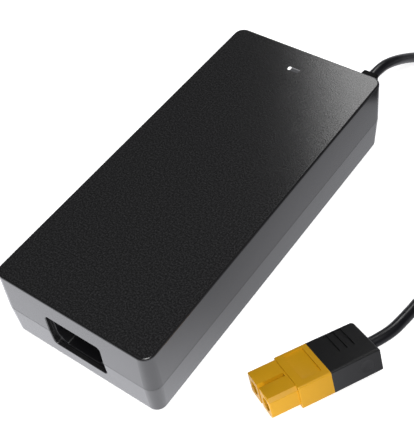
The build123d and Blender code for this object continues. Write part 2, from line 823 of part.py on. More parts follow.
def output_wire(start_x, land_x):
    """A wire in the open part, from the strain relief's inner face down to the board."""
    start_y = relief_flange_y - relief_flange_thickness
    turn_y = back_y - 14.05
    points = [
        (start_x, start_y, relief_z),
        (start_x, turn_y, relief_z),
        (land_x, wire_land[0], relief_z - 5.0),
        (land_x, wire_land[0], wire_land[1]),
    ]
    wire(points, 2.2, core_radius)


with BuildPart() as output_wire_positive:
    output_wire(relief_x + 1.6, relief_x + 0.4)
with BuildPart() as output_wire_negative:
    output_wire(relief_x - 1.6, relief_x - 5.6)

# ---- Output plug -------------------------------------------------------------------------
plug_axis = Vector(cos(plug_heading), sin(plug_heading), 0)
level_side = Vector(-sin(plug_heading), cos(plug_heading), 0)
plug_side = level_side * cos(plug_roll) - Vector(0, 0, sin(plug_roll))
plug_up = level_side * sin(plug_roll) + Vector(0, 0, cos(plug_roll))
plug_middle_z = (
    (plug_width / 2 - plug_edge) * sin(plug_roll)
    + (plug_height / 2 - plug_edge) * cos(plug_roll)
    + plug_edge
    + 0.02
)
plug_nose = Vector(plug_x, plug_y, plug_middle_z)
shroud_start = nose_length
cover_start = nose_length + shroud_length
cover_end = cover_start + cover_length


def plug_at(distance):
    """The plane across the plug at a distance from its nose: x to its side, y up, z back."""
    return Plane(origin=plug_nose + plug_axis * distance, x_dir=plug_side, z_dir=plug_axis)


def plug_place(distance, side, up):
    """A point given along, across and up the plug."""
    return plug_nose + plug_axis * distance + plug_side * side + plug_up * up


socket_places = [(-contact_spacing / 2, 0), (contact_spacing / 2, 0)]
contact_radius = contact_bore_radius + contact_wall

with BuildPart() as plug_housing:
    with BuildSketch(plug_at(0)) as nose:
        Rectangle(nose_width, nose_height)
        far_corners = nose.vertices().sort_by(Axis(plug_nose, plug_side))[-2:]
        chamfer(far_corners, nose_corner)
    extrude(amount=nose_length + nose_edge)
    fillet(plug_housing.edges(), nose_edge)
    with BuildSketch(plug_at(shroud_start)):
        RectangleRounded(plug_width, plug_height, plug_edge)
    extrude(amount=shroud_length)
    step = plug_housing.faces().filter_by(lambda f: f.normal_at().dot(plug_axis) < -0.99)
    fillet(step.sort_by(Axis(plug_nose, plug_axis))[-1].outer_wire().edges(), nose_edge)
    with BuildSketch(plug_at(0)):
        for side in (-1, 1):
            with Locations((0, side * nose_height / 2)):
                Rectangle(nose_slot_width, 2 * nose_slot_depth)
    extrude(amount=nose_length - 0.8, mode=Mode.SUBTRACT)
    with BuildSketch(plug_at(0)):
        Rectangle(nose_slot_width, nose_height + 1.0)
    extrude(amount=nose_gap_length, mode=Mode.SUBTRACT)
    with BuildSketch(plug_at(0)):
        with Locations(*socket_places):
            Circle(contact_radius + 0.03)
    extrude(amount=cover_start, mode=Mode.SUBTRACT)
    panel_plane = Plane(
        origin=plug_place(
            cover_start - panel_from_cover - panel_length / 2, panel_shift, plug_height / 2
        ),
        x_dir=plug_side,
        z_dir=plug_up,
    )
    with BuildSketch(panel_plane):
        RectangleRounded(panel_width, panel_length, 0.5)
    extrude(amount=-panel_depth, mode=Mode.SUBTRACT)

with BuildPart() as plug_contacts:
    with BuildSketch(plug_at(contact_setback)):
        with Locations(*socket_places):
            Circle(contact_radius)
    extrude(amount=contact_length)
    with BuildSketch(plug_at(contact_setback)):
        with Locations(*socket_places):
            Circle(contact_bore_radius)
    extrude(amount=contact_bore_length, mode=Mode.SUBTRACT)
    with BuildSketch(plug_at(contact_setback + contact_length - cup_depth)):
        with Locations(*socket_places):
            Circle(contact_radius - 0.5)
    extrude(amount=cup_depth, mode=Mode.SUBTRACT)

with BuildPart() as plug_cover:
    underside = Plane(
        origin=plug_place(cover_start, 0, -plug_height / 2), x_dir=plug_axis, z_dir=plug_up
    )
    with BuildSketch(underside) as outline:
        half_front, half_rear = plug_width / 2, plug_width / 2 - cover_waist
        Polygon(
            (0, -half_front),
            (cover_length, -half_rear),
            (cover_length, half_rear),
            (0, half_front),
            align=None,
        )
        near_rear, far_rear = outline.vertices().sort_by(Axis(plug_nose, plug_axis))[
            -2:
        ].sort_by(Axis(plug_nose, plug_side))
        fillet(near_rear, cover_near_corner)
        fillet(far_rear, cover_far_corner)
    extrude(amount=plug_height)
    flats = plug_cover.faces().sort_by(Axis(plug_nose, plug_up))
    for flat in (flats[0], flats[-1]):
        fillet(flat.edges().sort_by(Axis(plug_nose, plug_axis))[1:], plug_edge)
    with BuildSketch(plug_at(cover_start)):
        Rectangle(plug_width - 2 * cover_wall - 1.0, plug_height - 2 * cover_wall)
    extrude(amount=cover_length - cover_back, mode=Mode.SUBTRACT)
    for n in range(grip_count):
        distance = cover_start + grip_start + n * grip_pitch
        spot = plug_place(distance, grip_shift, plug_height / 2 - grip_depth)
        with BuildSketch(Plane(origin=spot, x_dir=plug_side, z_dir=plug_up)):
            RectangleRounded(grip_length, grip_width, 0.7)
        extrude(amount=3 * grip_depth, mode=Mode.SUBTRACT)
    reach = plug_width / 2 + dimple_radius - dimple_depth
    with Locations(plug_place(cover_end - dimple_from_end, -reach, 0)):
        Sphere(dimple_radius, mode=Mode.SUBTRACT)
    with BuildSketch(plug_at(cover_end - 2 * cover_back)):
        Circle(lead_diameter / 2 + lead_hole_gap)
    extrude(amount=3 * cover_back, mode=Mode.SUBTRACT)


def plug_wire(side):
    """A wire in the open part, from a contact's cup to the cover's back wall."""
    cup_end = contact_setback + contact_length
    points = [
        plug_place(cup_end - cup_depth + 0.1, side * contact_spacing / 2, 0),
        plug_place(cup_end + 3.0, side * contact_spacing / 2, 0),
        plug_place(cover_end - cover_back - 4.0, side * 1.6, 0),
        plug_place(cover_end - cover_back, side * 1.6, 0),
    ]
    wire(points, 3.0, plug_wire_radius)


with BuildPart() as plug_wires:
    plug_wire(-1)
    plug_wire(1)

# ---- Output lead: down from the case, a coil of the spare length, and on to the plug -----
lead_low = lead_diameter / 2 + 0.02  # the lead's middle where it lies on the surface
lead_high = lead_low + lead_diameter * sqrt(3) / 2  # where it lies on the turns below
plug_end = plug_place(cover_end - cover_back, 0, 0)

route_from_case = [
    (relief_x, relief_end_y, relief_z),
    (relief_x, 110.2, relief_z),
    (25.3, 121.0, 17.3),
    (27.0, 131.5, 12.0),
    (29.3, 142.5, 5.6),
    (34.8, 153.0, lead_low),
    (44.5, 160.8, lead_low),
    (56.5, 164.8, lead_low),
    (67.0, 166.0, lead_low),
    (77.5, 165.0, lead_low),
]
route_to_plug = [
    (110.0, 131.0, lead_high),
    (110.2, 119.0, lead_high),
    (109.8, 105.5, 5.4),
    (108.6, 89.0, 2.9),
    (105.5, 70.0, lead_low),
    (101.5, 50.0, lead_low),
    (98.2, 30.0, 2.7),
    (97.0, 13.5, 4.1),
    (96.3, -1.0, 7.0),
    plug_end + plug_axis * 11.5,
    plug_end,
]


def bend_radii(corners):
    """The arc at each corner of a route, as large as the runs beside it allow."""
    radii = []
    for before, corner, after in zip(corners, corners[1:], corners[2:]):
        first, second = corner - before, after - corner
        half_turn = radians(first.get_angle(second)) / 2
        radii.append(0.45 * min(first.length, second.length) / tan(half_turn))
    return radii


def lead(name, route):
    """A stretch of the lead in the open part: straight runs joined by tangent arcs."""
    corners = [Vector(point) for point in route]
    radii = bend_radii(corners)
    with BuildLine(mode=Mode.PRIVATE) as path:
        FilletPolyline(*corners, radius=radii)
    middle = path.wires()[0]
    start = Plane(origin=middle @ 0, z_dir=middle % 0)
    with BuildSketch(start, mode=Mode.PRIVATE) as section:
        Circle(lead_diameter / 2)
    tube = sweep(section.sketch, path=middle)
    expected = pi * (lead_diameter / 2) ** 2 * middle.length
    print(name, "length", round(middle.length, 1), "mm, radii", [round(r) for r in radii])
    print(name, "volume over section times length:", round(tube.volume / expected, 4))


with BuildPart() as lead_from_case:
    lead("lead_from_case", route_from_case)
with BuildPart() as lead_to_plug:
    lead("lead_to_plug", route_to_plug)
with BuildPart() as lead_coil:
    half_width = coil_columns * lead_diameter / 2 + coil_slack
    with BuildSketch(Plane.XY.offset(lead_low - lead_diameter / 2)):
        with Locations((coil_x, coil_y)):
            Circle(coil_radius + half_width)
            Circle(coil_radius - half_width, mode=Mode.SUBTRACT)
    extrude(amount=lead_high - lead_low + lead_diameter + coil_slack)
    fillet(lead_coil.edges(), lead_diameter / 2 - coil_slack)

# ---- Write every piece -------------------------------------------------------------------
pieces = {
    "top_case": top_case,
    "bottom_case": bottom_case,
    "light_pipe": light_pipe,
    "rubber_feet": rubber_feet,
    "case_screws": case_screws,
    "inlet_housing": inlet_housing,
    "inlet_line_blades": inlet_line_blades,
    "inlet_earth_blade": inlet_earth_blade,
    "live_wire": live_wire,
    "neutral_wire": neutral_wire,
    "earth_wire": earth_wire,
    "circuit_board": circuit_board,
    "board_screws": board_screws,
    "insulation_sheet": insulation_sheet,
    "fuse_tube": fuse_tube,
    "fuse_caps": fuse_caps,
    "fuse_clips": fuse_clips,
    "inrush_thermistor": inrush_thermistor,
    "varistor": varistor,
    "y_capacitors": y_capacitors,
    "x_capacitor": x_capacitor,
    "choke_core": choke_core,
    "choke_winding": choke_winding,
    "choke_base": choke_base,
    "bridge_rectifier": bridge_rectifier,
    "boost_inductor_core": boost_inductor_core,
    "boost_inductor_winding": boost_inductor_winding,
    "bulk_capacitor": bulk_capacitor,
    "switch_transistors": switch_transistors,
    "primary_heatsink": primary_heatsink,
    "transformer_core": transformer_core,
    "transformer_bobbin": transformer_bobbin,
    "transformer_winding": transformer_winding,
    "transformer_base": transformer_base,
    "output_rectifiers": output_rectifiers,
    "secondary_heatsink": secondary_heatsink,
    "heatsink_screws": heatsink_screws,
    "thermal_pads": thermal_pads,
    "heat_spreader": heat_spreader,
    "output_capacitors": output_capacitors,
    "output_choke_core": output_choke_core,
    "output_choke_winding": output_choke_winding,
    "shunt_resistor": shunt_resistor,
    "optocouplers": optocouplers,
    "control_board": control_board,
    "control_header": control_header,
    "charge_controller": charge_controller,
    "charging_light": charging_light,
    "charged_light": charged_light,
    "light_holder": light_holder,
    "output_wire_positive": output_wire_positive,
    "output_wire_negative": output_wire_negative,
    "strain_relief": strain_relief,
    "lead_from_case": lead_from_case,
    "lead_coil": lead_coil,
    "lead_to_plug": lead_to_plug,
    "plug_housing": plug_housing,
    "plug_cover": plug_cover,
    "plug_contacts": plug_contacts,
    "plug_wires": plug_wires,
}
os.makedirs("parts", exist_ok=True)
for label, piece in pieces.items():
    finish(piece, label)
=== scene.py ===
"""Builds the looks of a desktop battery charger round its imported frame."""

import json
from math import cos, pi, radians, sin, tau

import bmesh
import bpy
from bpy.props import FloatProperty, FloatVectorProperty, IntProperty, PointerProperty
from mathutils import Matrix, Vector


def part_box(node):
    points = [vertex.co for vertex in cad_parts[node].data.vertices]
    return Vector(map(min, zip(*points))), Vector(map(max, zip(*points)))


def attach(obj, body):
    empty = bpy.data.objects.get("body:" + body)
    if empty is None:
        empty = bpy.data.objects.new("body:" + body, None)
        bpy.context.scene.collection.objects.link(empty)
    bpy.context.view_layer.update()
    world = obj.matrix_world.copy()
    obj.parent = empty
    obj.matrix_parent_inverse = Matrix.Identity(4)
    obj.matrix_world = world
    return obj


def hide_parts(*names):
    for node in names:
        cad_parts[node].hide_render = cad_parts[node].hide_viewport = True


bl_info = {
    "name": "Battery Charger",
    "version": (1, 0, 0),
    "blender": (4, 5, 0),
    "location": "View3D > Sidebar > Charger",
    "description": "Builds the looks of a desktop battery charger round its frame",
    "category": "Object",
}

MM = 0.001
SHARP = radians(32.0)  # turn over which an edge of a whole shape is sharp
FLAT = radians(18.0)  # the same for softened edges, so that flat faces stay flat
LEVEL = radians(0.5)  # turn under which two faces are one flat face
WELD = 0.001 * MM  # points nearer than this are one point

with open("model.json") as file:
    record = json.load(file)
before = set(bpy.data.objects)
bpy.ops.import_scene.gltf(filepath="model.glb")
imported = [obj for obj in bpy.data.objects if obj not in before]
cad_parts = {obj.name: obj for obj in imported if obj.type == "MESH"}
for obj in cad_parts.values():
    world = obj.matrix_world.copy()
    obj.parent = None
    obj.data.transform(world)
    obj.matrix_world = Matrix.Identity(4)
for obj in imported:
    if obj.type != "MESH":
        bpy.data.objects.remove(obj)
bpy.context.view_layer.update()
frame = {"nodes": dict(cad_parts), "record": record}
nodes = frame["nodes"]
mounts = {mount["name"]: mount for mount in frame["record"]["mounts"]}
case_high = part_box("top_case")[1]


# ---- Settings ----


class ChargerCaseSettings(bpy.types.PropertyGroup):
    """Finish of the case, the window and the feet."""

    colour: FloatVectorProperty(
        name="Plastic colour",
        description="Colour of the moulded case",
        subtype="COLOR",
        size=4,
        default=(0.0135, 0.0135, 0.014, 1.0),
    )
    grain: FloatProperty(
        name="Grain size",
        description="Size of the spark-eroded grain on the top face",
        unit="LENGTH",
        default=0.7 * MM,
    )
    top_roughness: FloatProperty(
        name="Top roughness",
        description="Roughness of the grained top face",
        subtype="FACTOR",
        default=0.15,
    )
    side_roughness: FloatProperty(
        name="Side roughness",
        description="Roughness of the smooth sides",
        subtype="FACTOR",
        default=0.2,
    )


class ChargerLeadSettings(bpy.types.PropertyGroup):
    """Size and finish of the output lead."""

    diameter: FloatProperty(
        name="Diameter",
        description="Outer diameter of the lead's jacket",
        unit="LENGTH",
        default=5.0 * MM,
    )
    length: FloatProperty(
        name="Length",
        description="Length of the lead from the strain relief to the plug",
        unit="LENGTH",
        default=1.16,
    )
    coil_radius: FloatProperty(
        name="Coil radius",
        description="Radius at the middle of the coil's turns",
        unit="LENGTH",
        default=27.5 * MM,
    )
    points_per_turn: IntProperty(
        name="Points per turn",
        description="Control points in each turn of the coil",
        default=16,
    )


class ChargerPlugSettings(bpy.types.PropertyGroup):
    """Colours of the plug."""

    yellow: FloatVectorProperty(
        name="Housing colour",
        description="Colour of the plug's housing",
        subtype="COLOR",
        size=4,
        default=(0.64, 0.325, 0.007, 1.0),
    )
    black: FloatVectorProperty(
        name="Cover colour",
        description="Colour of the plug's rear cover",
        subtype="COLOR",
        size=4,
        default=(0.008, 0.008, 0.0085, 1.0),
    )


class ChargerWindingSettings(bpy.types.PropertyGroup):
    """How the wire lies on the cores inside the case."""

    wobble: FloatProperty(
        name="Wobble",
        description="How far a turn of wire leans away from its place",
        subtype="ANGLE",
        default=radians(2.0),
    )
    layer_turns: IntProperty(
        name="Turns in a layer",
        description="Turns of wire in the transformer's outer layer",
        default=11,
    )
    seed: IntProperty(
        name="Seed",
        description="Fixes how the turns lean",
        default=4,
    )


class ChargerStageSettings(bpy.types.PropertyGroup):
    """Camera, floor and light."""

    azimuth: FloatProperty(
        name="Azimuth",
        description="Direction the camera looks from, turned from -Y towards +X",
        subtype="ANGLE",
        default=radians(41.607),
    )
    elevation: FloatProperty(
        name="Elevation",
        description="Height of the camera above the horizon",
        subtype="ANGLE",
        default=radians(49.466),
    )
    roll: FloatProperty(
        name="Roll",
        description="Turn of the camera about its own line of sight",
        subtype="ANGLE",
        default=radians(-7.898),
    )
    distance: FloatProperty(
        name="Distance",
        description="From the camera to the point it looks at",
        unit="LENGTH",
        default=0.41175,
    )
    target: FloatVectorProperty(
        name="Target",
        description="The point the camera looks at",
        subtype="XYZ",
        default=(-0.005664, 0.006667, 0.0012),
    )
    lens: FloatProperty(
        name="Lens",
        description="Focal length of the camera, in millimetres",
        default=77.81,
    )
    floor_size: FloatProperty(
        name="Floor size",
        description="Width of the floor",
        unit="LENGTH",
        default=6.0,
    )
    front_glow: FloatProperty(
        name="Front glow",
        description="Light that the floor sends up in front of the charger",
        default=1.95,
    )
    side_glow: FloatProperty(
        name="Side glow",
        description="Light that the floor sends up beside the charger",
        default=0.56,
    )
    fill_power: FloatProperty(
        name="Fill power",
        description="Power of the overhead light, in watts",
        default=8.8,
    )
    sheen_power: FloatProperty(
        name="Sheen power",
        description="Power of the light behind the charger, in watts",
        default=0.82,
    )
    plug_power: FloatProperty(
        name="Plug power",
        description="Power of the narrow light on the plug, in watts",
        default=0.0011,
        precision=4,
    )
    sheen_turn: FloatProperty(
        name="Sheen turn",
        description="Direction in which the sheen on the top grows, turned from +X to +Y",
        subtype="ANGLE",
        default=radians(43.0),
    )
    sheen_shift: FloatProperty(
        name="Sheen shift",
        description="How far outside the corner's mirrored line of sight the light's edge lies",
        unit="LENGTH",
        default=-0.06,
    )
    sheen_width: FloatProperty(
        name="Sheen width",
        description="Width of the light behind the charger",
        unit="LENGTH",
        default=0.17,
    )


# ---- Shaders ----


class Nodes:
    """A node tree, and short calls that add its nodes and join them."""

    def __init__(self, tree):
        self.tree = tree

    def join(self, node, sockets):
        """Set each socket to a constant, or join it to another node's output."""
        for socket, value in sockets.items():
            if isinstance(value, bpy.types.NodeSocket):
                self.tree.links.new(value, node.inputs[socket])
            else:
                node.inputs[socket].default_value = value

    def node(self, kind, sockets=None, **settings):
        """A new node, with its settings and its sockets."""
        node = self.tree.nodes.new(kind)
        for name, value in settings.items():
            setattr(node, name, value)
        self.join(node, sockets or {})
        return node

    def add(self, kind, sockets=None, **settings):
        """A new shader node."""
        return self.node("ShaderNode" + kind, sockets, **settings)

    def math(self, operation, *values):
        """The result of a math node."""
        return self.add("Math", dict(enumerate(values)), operation=operation).outputs[0]

    def choose(self, seen, other):
        """One shader for what the camera sees, and another for every other ray."""
        ray = self.add("LightPath").outputs["Is Camera Ray"]
        sockets = {0: ray, 1: other.outputs[0], 2: seen.outputs[0]}
        return self.add("MixShader", sockets).outputs[0]


class Shader(Nodes):
    """A material and short calls for what its surface needs."""

    def __init__(self, name, **constants):
        self.material = bpy.data.materials.new(name)
        self.material.use_nodes = True
        super().__init__(self.material.node_tree)
        self.surface = self.tree.nodes["Principled BSDF"]
        self.dress_surface(constants)

    def dress_surface(self, sockets):
        """Set or join the surface's sockets, named with underscores for spaces."""
        named = {name.replace("_", " "): value for name, value in sockets.items()}
        self.join(self.surface, named)

    def place(self, scale=(1.0, 1.0, 1.0)):
        """Object coordinates, scaled."""
        place = self.add("TexCoord").outputs["Object"]
        return self.add("Mapping", {"Vector": place, "Scale": scale}).outputs["Vector"]

    def parts(self, vector):
        """A vector's X, Y and Z."""
        return self.add("SeparateXYZ", {0: vector}).outputs

    def noise(self, size, detail=2.0, place=None, roughness=0.5):
        """Noise whose grains are about one size across."""
        sockets = {
            "Vector": place or self.place(),
            "Scale": 1.0 / size,
            "Detail": detail,
            "Roughness": roughness,
        }
        return self.add("TexNoise", sockets).outputs["Fac"]

    def between(self, value, low, high, start=0.0, end=1.0):
        """A value mapped from one range to another, and kept inside it."""
        sockets = {0: value, 1: start, 2: end, 3: low, 4: high}
        return self.add("MapRange", sockets).outputs["Result"]

    def ramp(self, value, start, end):
        """0 up to the start, 1 from the end on, and even steps between."""
        return self.between(value, 0.0, 1.0, start, end)

    def blend(self, share, first, second):
        """A colour between two colours."""
        node = self.add("Mix", data_type="RGBA")
        self.join(node, {0: share, 6: first, 7: second})
        return node.outputs[2]

    def vary(self, share, colour, darker, lighter):
        """A colour between two shades of itself."""
        return self.blend(share, shade(colour, darker), shade(colour, lighter))

    def bump(self, height, distance, below=None):
        """A normal from a height, on top of another normal if there is one."""
        sockets = {"Height": height, "Distance": distance, "Strength": 1.0}
        if below is not None:
            sockets["Normal"] = below
        return self.add("Bump", sockets).outputs["Normal"]

    def finish(self, colour, rough, normal=None, **others):
        """Join the surface's sockets and give back the material."""
        self.dress_surface({"Base_Color": colour, "Roughness": rough, **others})
        if normal is not None:
            self.dress_surface({"Normal": normal})
        return self.material


def shade(colour, factor):
    """A colour made lighter or darker."""
    return (*(channel * factor for channel in colour[:3]), 1.0)


def dress(material, *names):
    """Give CAD nodes a material."""
    for name in names:
        for slot in nodes[name].material_slots:
            slot.material = material


def put(name, data):
    """A new object in the scene."""
    item = bpy.data.objects.new(name, data)
    bpy.context.scene.collection.objects.link(item)
    return item


def stand(item, place, right, up, back):
    """Set a camera or a light at its place, looking away from its back."""
    facing = Matrix((right, up, back)).transposed().to_4x4()
    item.matrix_world = Matrix.Translation(place) @ facing


# ---- Materials of the outside ----


def case_plastic(settings):
    """Black moulded plastic: smooth sides and rim, fine grain on the top face."""
    shader = Shader("grained_case_plastic", IOR=1.5)
    height = shader.parts(shader.place())["Z"]
    grain_starts, grain_is_full = case_high.z - 0.08 * MM, case_high.z - 0.02 * MM
    grained = shader.ramp(height, grain_starts, grain_is_full)
    grain = shader.noise(settings.grain, 4.0, roughness=0.75)
    speck = shader.ramp(grain, 0.45, 0.66)
    top_colour = shader.vary(speck, settings.colour, 0.82, 3.15)
    colour = shader.blend(grained, tuple(settings.colour), top_colour)
    top = shader.between(speck, settings.top_roughness + 0.03, settings.top_roughness - 0.01)
    wave = shader.noise(9.0 * MM, 1.0)
    side = shader.between(wave, settings.side_roughness - 0.02, settings.side_roughness + 0.03)
    rough = shader.add("Mix", {0: grained, 2: side, 3: top}).outputs[0]
    ripple = shader.bump(shader.noise(5.0 * MM, 1.0), 0.01 * MM)
    relief = shader.math("MULTIPLY", grain, grained)
    normal = shader.bump(relief, 0.03 * MM, below=ripple)
    return shader.finish(colour, rough, normal)


def satin_plastic(name, colour, roughness, grain, depth, spread=0.12, gloss=0.5):
    """Moulded plastic with fine grain, whose width and depth are in millimetres."""
    shader = Shader(name, IOR=1.5, Specular_IOR_Level=gloss)
    cloud = shader.noise(6.0 * MM, 2.0)
    fine = shader.noise(grain * MM, 3.0, roughness=0.6)
    tone = shader.vary(cloud, colour, 1 - spread, 1 + spread)
    rough = shader.between(fine, roughness - 0.06, roughness + 0.06, start=0.3, end=0.7)
    return shader.finish(tone, rough, shader.bump(fine, depth * MM))


def window_plastic():
    """Smoky grey light pipe, with a painted glow near one end and a painted highlight along its far
    side.
    """
    shader = Shader("smoky_window", IOR=1.49, Emission_Strength=2.6)
    lamp_low, lamp_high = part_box("charging_light")
    lamp = (lamp_low + lamp_high) / 2
    spot = (1.3 * lamp.x, lamp.y)  # the painted glow spot lies a little further out than the lamp
    shift = shader.add("Mapping", {0: shader.place(), 1: (-spot[0], -spot[1], 0.0)}).outputs[0]
    long_spot = (1.0, 0.62, 0.0)
    flat = shader.add("VectorMath", {0: shift, 1: long_spot}, operation="MULTIPLY").outputs[0]
    away = shader.add("VectorMath", {0: flat}, operation="LENGTH").outputs["Value"]
    # painted glow: the window itself emits white light round the spot
    glow = shader.between(away, 1.0, 0.0, 0.4 * MM, 0.82 * MM)
    haze = shader.noise(0.8 * MM, 2.0)
    smoke = shader.blend(haze, (0.06, 0.06, 0.066, 1.0), (0.11, 0.11, 0.118, 1.0))
    # painted highlight: a lighter grey band along the window's far side
    along = shader.parts(shader.place())["Y"]
    painted_highlight_band = shader.ramp(along, lamp.y + 0.45 * MM, lamp.y + 0.8 * MM)
    grey = shader.blend(painted_highlight_band, smoke, (0.3, 0.3, 0.31, 1.0))
    # colour of the painted glow, sent out as emission
    light = shader.blend(glow, (0.0, 0.0, 0.0, 1.0), (1.0, 1.0, 0.97, 1.0))
    rough = shader.between(haze, 0.12, 0.2)
    return shader.finish(grey, rough, Emission_Color=light)


def lead_jacket():
    """Satin black jacket, very slightly wavy."""
    shader = Shader("glossy_jacket", IOR=1.5)
    wave = shader.noise(7.0 * MM, 2.0)
    rough = shader.between(wave, 0.27, 0.36, start=0.3, end=0.7)
    fine = shader.bump(shader.noise(0.5 * MM, 2.0), 0.008 * MM)
    normal = shader.bump(wave, 0.05 * MM, below=fine)
    tone = shader.blend(wave, (0.004, 0.004, 0.006, 1.0), (0.008, 0.008, 0.01, 1.0))
    return shader.finish(tone, rough, normal)


def plated_metal(name, colour, roughness):
    """Plated metal with fine scratches."""
    shader = Shader(name, Metallic=1.0)
    scratch = shader.noise(0.4 * MM, 3.0, shader.place(scale=(1.0, 0.15, 1.0)))
    tone = shader.vary(scratch, colour, 0.85, 1.1)
    rough = shader.between(scratch, roughness - 0.06, roughness + 0.1)
    return shader.finish(tone, rough, shader.bump(scratch, 0.01 * MM))


# ---- Materials of the inside ----


def enamelled_wire():
    """Enamelled copper wire, darker where the enamel is thick."""
    shader = Shader("enamelled_wire", Metallic=1.0, Coat_Weight=0.6, Coat_Roughness=0.15)
    enamel = shader.noise(1.5 * MM, 2.0)
    tone = shader.blend(enamel, (0.42, 0.12, 0.03, 1.0), (0.72, 0.27, 0.09, 1.0))
    rough = shader.between(enamel, 0.2, 0.36)
    normal = shader.bump(shader.noise(0.6 * MM, 1.0), 0.01 * MM)
    return shader.finish(tone, rough, normal)


def brushed_aluminium():
    """Rolled aluminium sheet with its grain along the charger."""
    shader = Shader("brushed_aluminium", Metallic=1.0)
    grain = shader.noise(0.25 * MM, 4.0, shader.place(scale=(1.0, 0.03, 1.0)), 0.7)
    cloud = shader.noise(14.0 * MM, 2.0)
    tone = shader.blend(cloud, (0.58, 0.58, 0.6, 1.0), (0.74, 0.74, 0.75, 1.0))
    rough = shader.between(grain, 0.24, 0.48)
    return shader.finish(tone, rough, shader.bump(grain, 0.01 * MM))


def coated_ring(name, colour, roughness):
    """Thick epoxy on a ring core, with the skin of an orange."""
    shader = Shader(name, Coat_Weight=0.4, Coat_Roughness=0.2)
    peel = shader.noise(0.9 * MM, 2.0)
    tone = shader.vary(shader.noise(5.0 * MM), colour, 0.8, 1.15)
    rough = shader.between(peel, roughness - 0.08, roughness + 0.08)
    return shader.finish(tone, rough, shader.bump(peel, 0.06 * MM))


def bare_ferrite():
    """Pressed and ground ferrite: dark grey with a glittering fine grain."""
    shader = Shader("bare_ferrite", Metallic=0.35)
    crystal = shader.noise(0.18 * MM, 4.0, roughness=0.8)
    glitter = shader.ramp(crystal, 0.62, 0.7)
    tone = shader.blend(glitter, (0.03, 0.03, 0.034, 1.0), (0.16, 0.16, 0.17, 1.0))
    rough = shader.between(crystal, 0.34, 0.6, start=0.3, end=0.7)
    return shader.finish(tone, rough, shader.bump(crystal, 0.02 * MM))


def solder_resist(name, tracks, face_axis):
    """Green solder resist over copper tracks, bare laminate on the edges."""
    shader = Shader(name, Coat_Weight=0.3, Coat_Roughness=0.12)
    sockets = {"Vector": shader.place(), "Scale": 1.0 / tracks, "Randomness": 0.75}
    cells = shader.add("TexVoronoi", sockets, distance="CHEBYCHEV", feature="F1")
    track = shader.between(cells.outputs["Distance"], 1.0, 0.0, start=0.36, end=0.39)
    mask = shader.noise(8.0 * MM)
    under = shader.blend(mask, (0.004, 0.045, 0.014, 1.0), (0.007, 0.06, 0.02, 1.0))
    over = shader.blend(mask, (0.012, 0.11, 0.035, 1.0), (0.02, 0.135, 0.045, 1.0))
    face = shader.blend(track, under, over)
    facing = shader.parts(shader.add("NewGeometry").outputs["Normal"])
    across = shader.math("ABSOLUTE", facing[face_axis])
    broad = shader.ramp(across, 0.5, 0.8)
    weave = shader.noise(0.5 * MM, 3.0)
    edge = shader.blend(weave, (0.3, 0.24, 0.1, 1.0), (0.42, 0.36, 0.18, 1.0))
    tone = shader.blend(broad, edge, face)
    rough = shader.between(mask, 0.22, 0.34)
    return shader.finish(tone, rough, shader.bump(track, 0.035 * MM))


def shrunk_sleeve(name, colour, stripe, end_axis):
    """A capacitor's shrunk sleeve with a pale dashed stripe, and its aluminium end."""
    shader = Shader(name)
    stripe_axis, stripe_edge = stripe
    dash_length, gap_share = 5.0 * MM, 0.35
    facing = shader.parts(shader.add("NewGeometry").outputs["Normal"])
    towards_end = shader.math("ABSOLUTE", facing[end_axis])
    end = shader.ramp(towards_end, 0.9, 0.97)
    band = shader.ramp(facing[stripe_axis], stripe_edge, stripe_edge + 0.01)
    along = shader.parts(shader.place())[end_axis]
    step = shader.math("FRACT", shader.math("MULTIPLY", along, 1.0 / dash_length))
    dash = shader.math("GREATER_THAN", step, gap_share)
    pale = shader.math("MULTIPLY", band, dash)
    film = shader.noise(2.5 * MM, 2.0)
    plain = shader.vary(film, colour, 0.85, 1.15)
    sleeve = shader.blend(pale, plain, (0.45, 0.47, 0.5, 1.0))
    brushed = shader.noise(0.3 * MM, 3.0)
    metal = shader.blend(brushed, (0.5, 0.5, 0.51, 1.0), (0.7, 0.7, 0.71, 1.0))
    tone = shader.blend(end, sleeve, metal)
    rough = shader.between(film, 0.22, 0.34)
    return shader.finish(tone, rough, shader.bump(film, 0.03 * MM), Metallic=end)


def insulated_wire(name, colour, stripe=None):
    """A wire's soft sleeve, in one colour or with a stripe along it."""
    shader = Shader(name, Coat_Weight=0.2, Coat_Roughness=0.3)
    soft = shader.noise(1.2 * MM, 2.0)
    tone = shader.vary(soft, colour, 0.85, 1.15)
    if stripe:
        beside = shader.math("ABSOLUTE", shader.parts(shader.place())["X"])
        line = shader.between(beside, 1.0, 0.0, 0.45 * MM, 0.5 * MM)
        tone = shader.blend(line, tone, stripe)
    rough = shader.between(soft, 0.35, 0.48)
    return shader.finish(tone, rough, shader.bump(soft, 0.02 * MM))


def clear_body(name, tint, clearness):
    """Glass or tinted epoxy with faint flow lines."""
    shader = Shader(name, Transmission_Weight=clearness, IOR=1.5)
    flow = shader.noise(2.0 * MM, 1.0, shader.place(scale=(1.0, 0.3, 1.0)))
    tone = shader.vary(flow, tint, 0.92, 1.0)
    rough = shader.between(flow, 0.03, 0.1)
    return shader.finish(tone, rough, shader.bump(flow, 0.01 * MM))


# ---- Stage ----

OVERHEAD_PLACE = (0.35, -0.35, 0.95)
OVERHEAD_TARGET = (0.02, 0.0, 0.0)
OVERHEAD_SIZE = (0.5, 0.5)
SHEEN_REACH = 0.6  # from the case's corner, along the mirrored line of sight
SHEEN_LENGTH = 0.3
PLUG_LIGHT_WAY = Vector((0.1, -0.97, 0.08))  # from the middle of the plug's housing
PLUG_LIGHT_REACH = 0.22
PLUG_LIGHT_SIZE = (0.02, 0.02)
PLUG_LIGHT_SPREAD = radians(12.0)

NEAR_GLOW = 1.55  # the side glow right beside the case, against the side glow further out
BESIDE = (0.042, 0.072)  # x from the one to the other
IN_FRONT = (-0.01, -0.113)  # y from the side glow to the front glow
SEEN_WHITE = (0.7, 1.0)  # how white the camera sees the floor, near the charger and far away
SEEN_REACH = (0.4, 1.6)  # distances from the origin of the one and the other


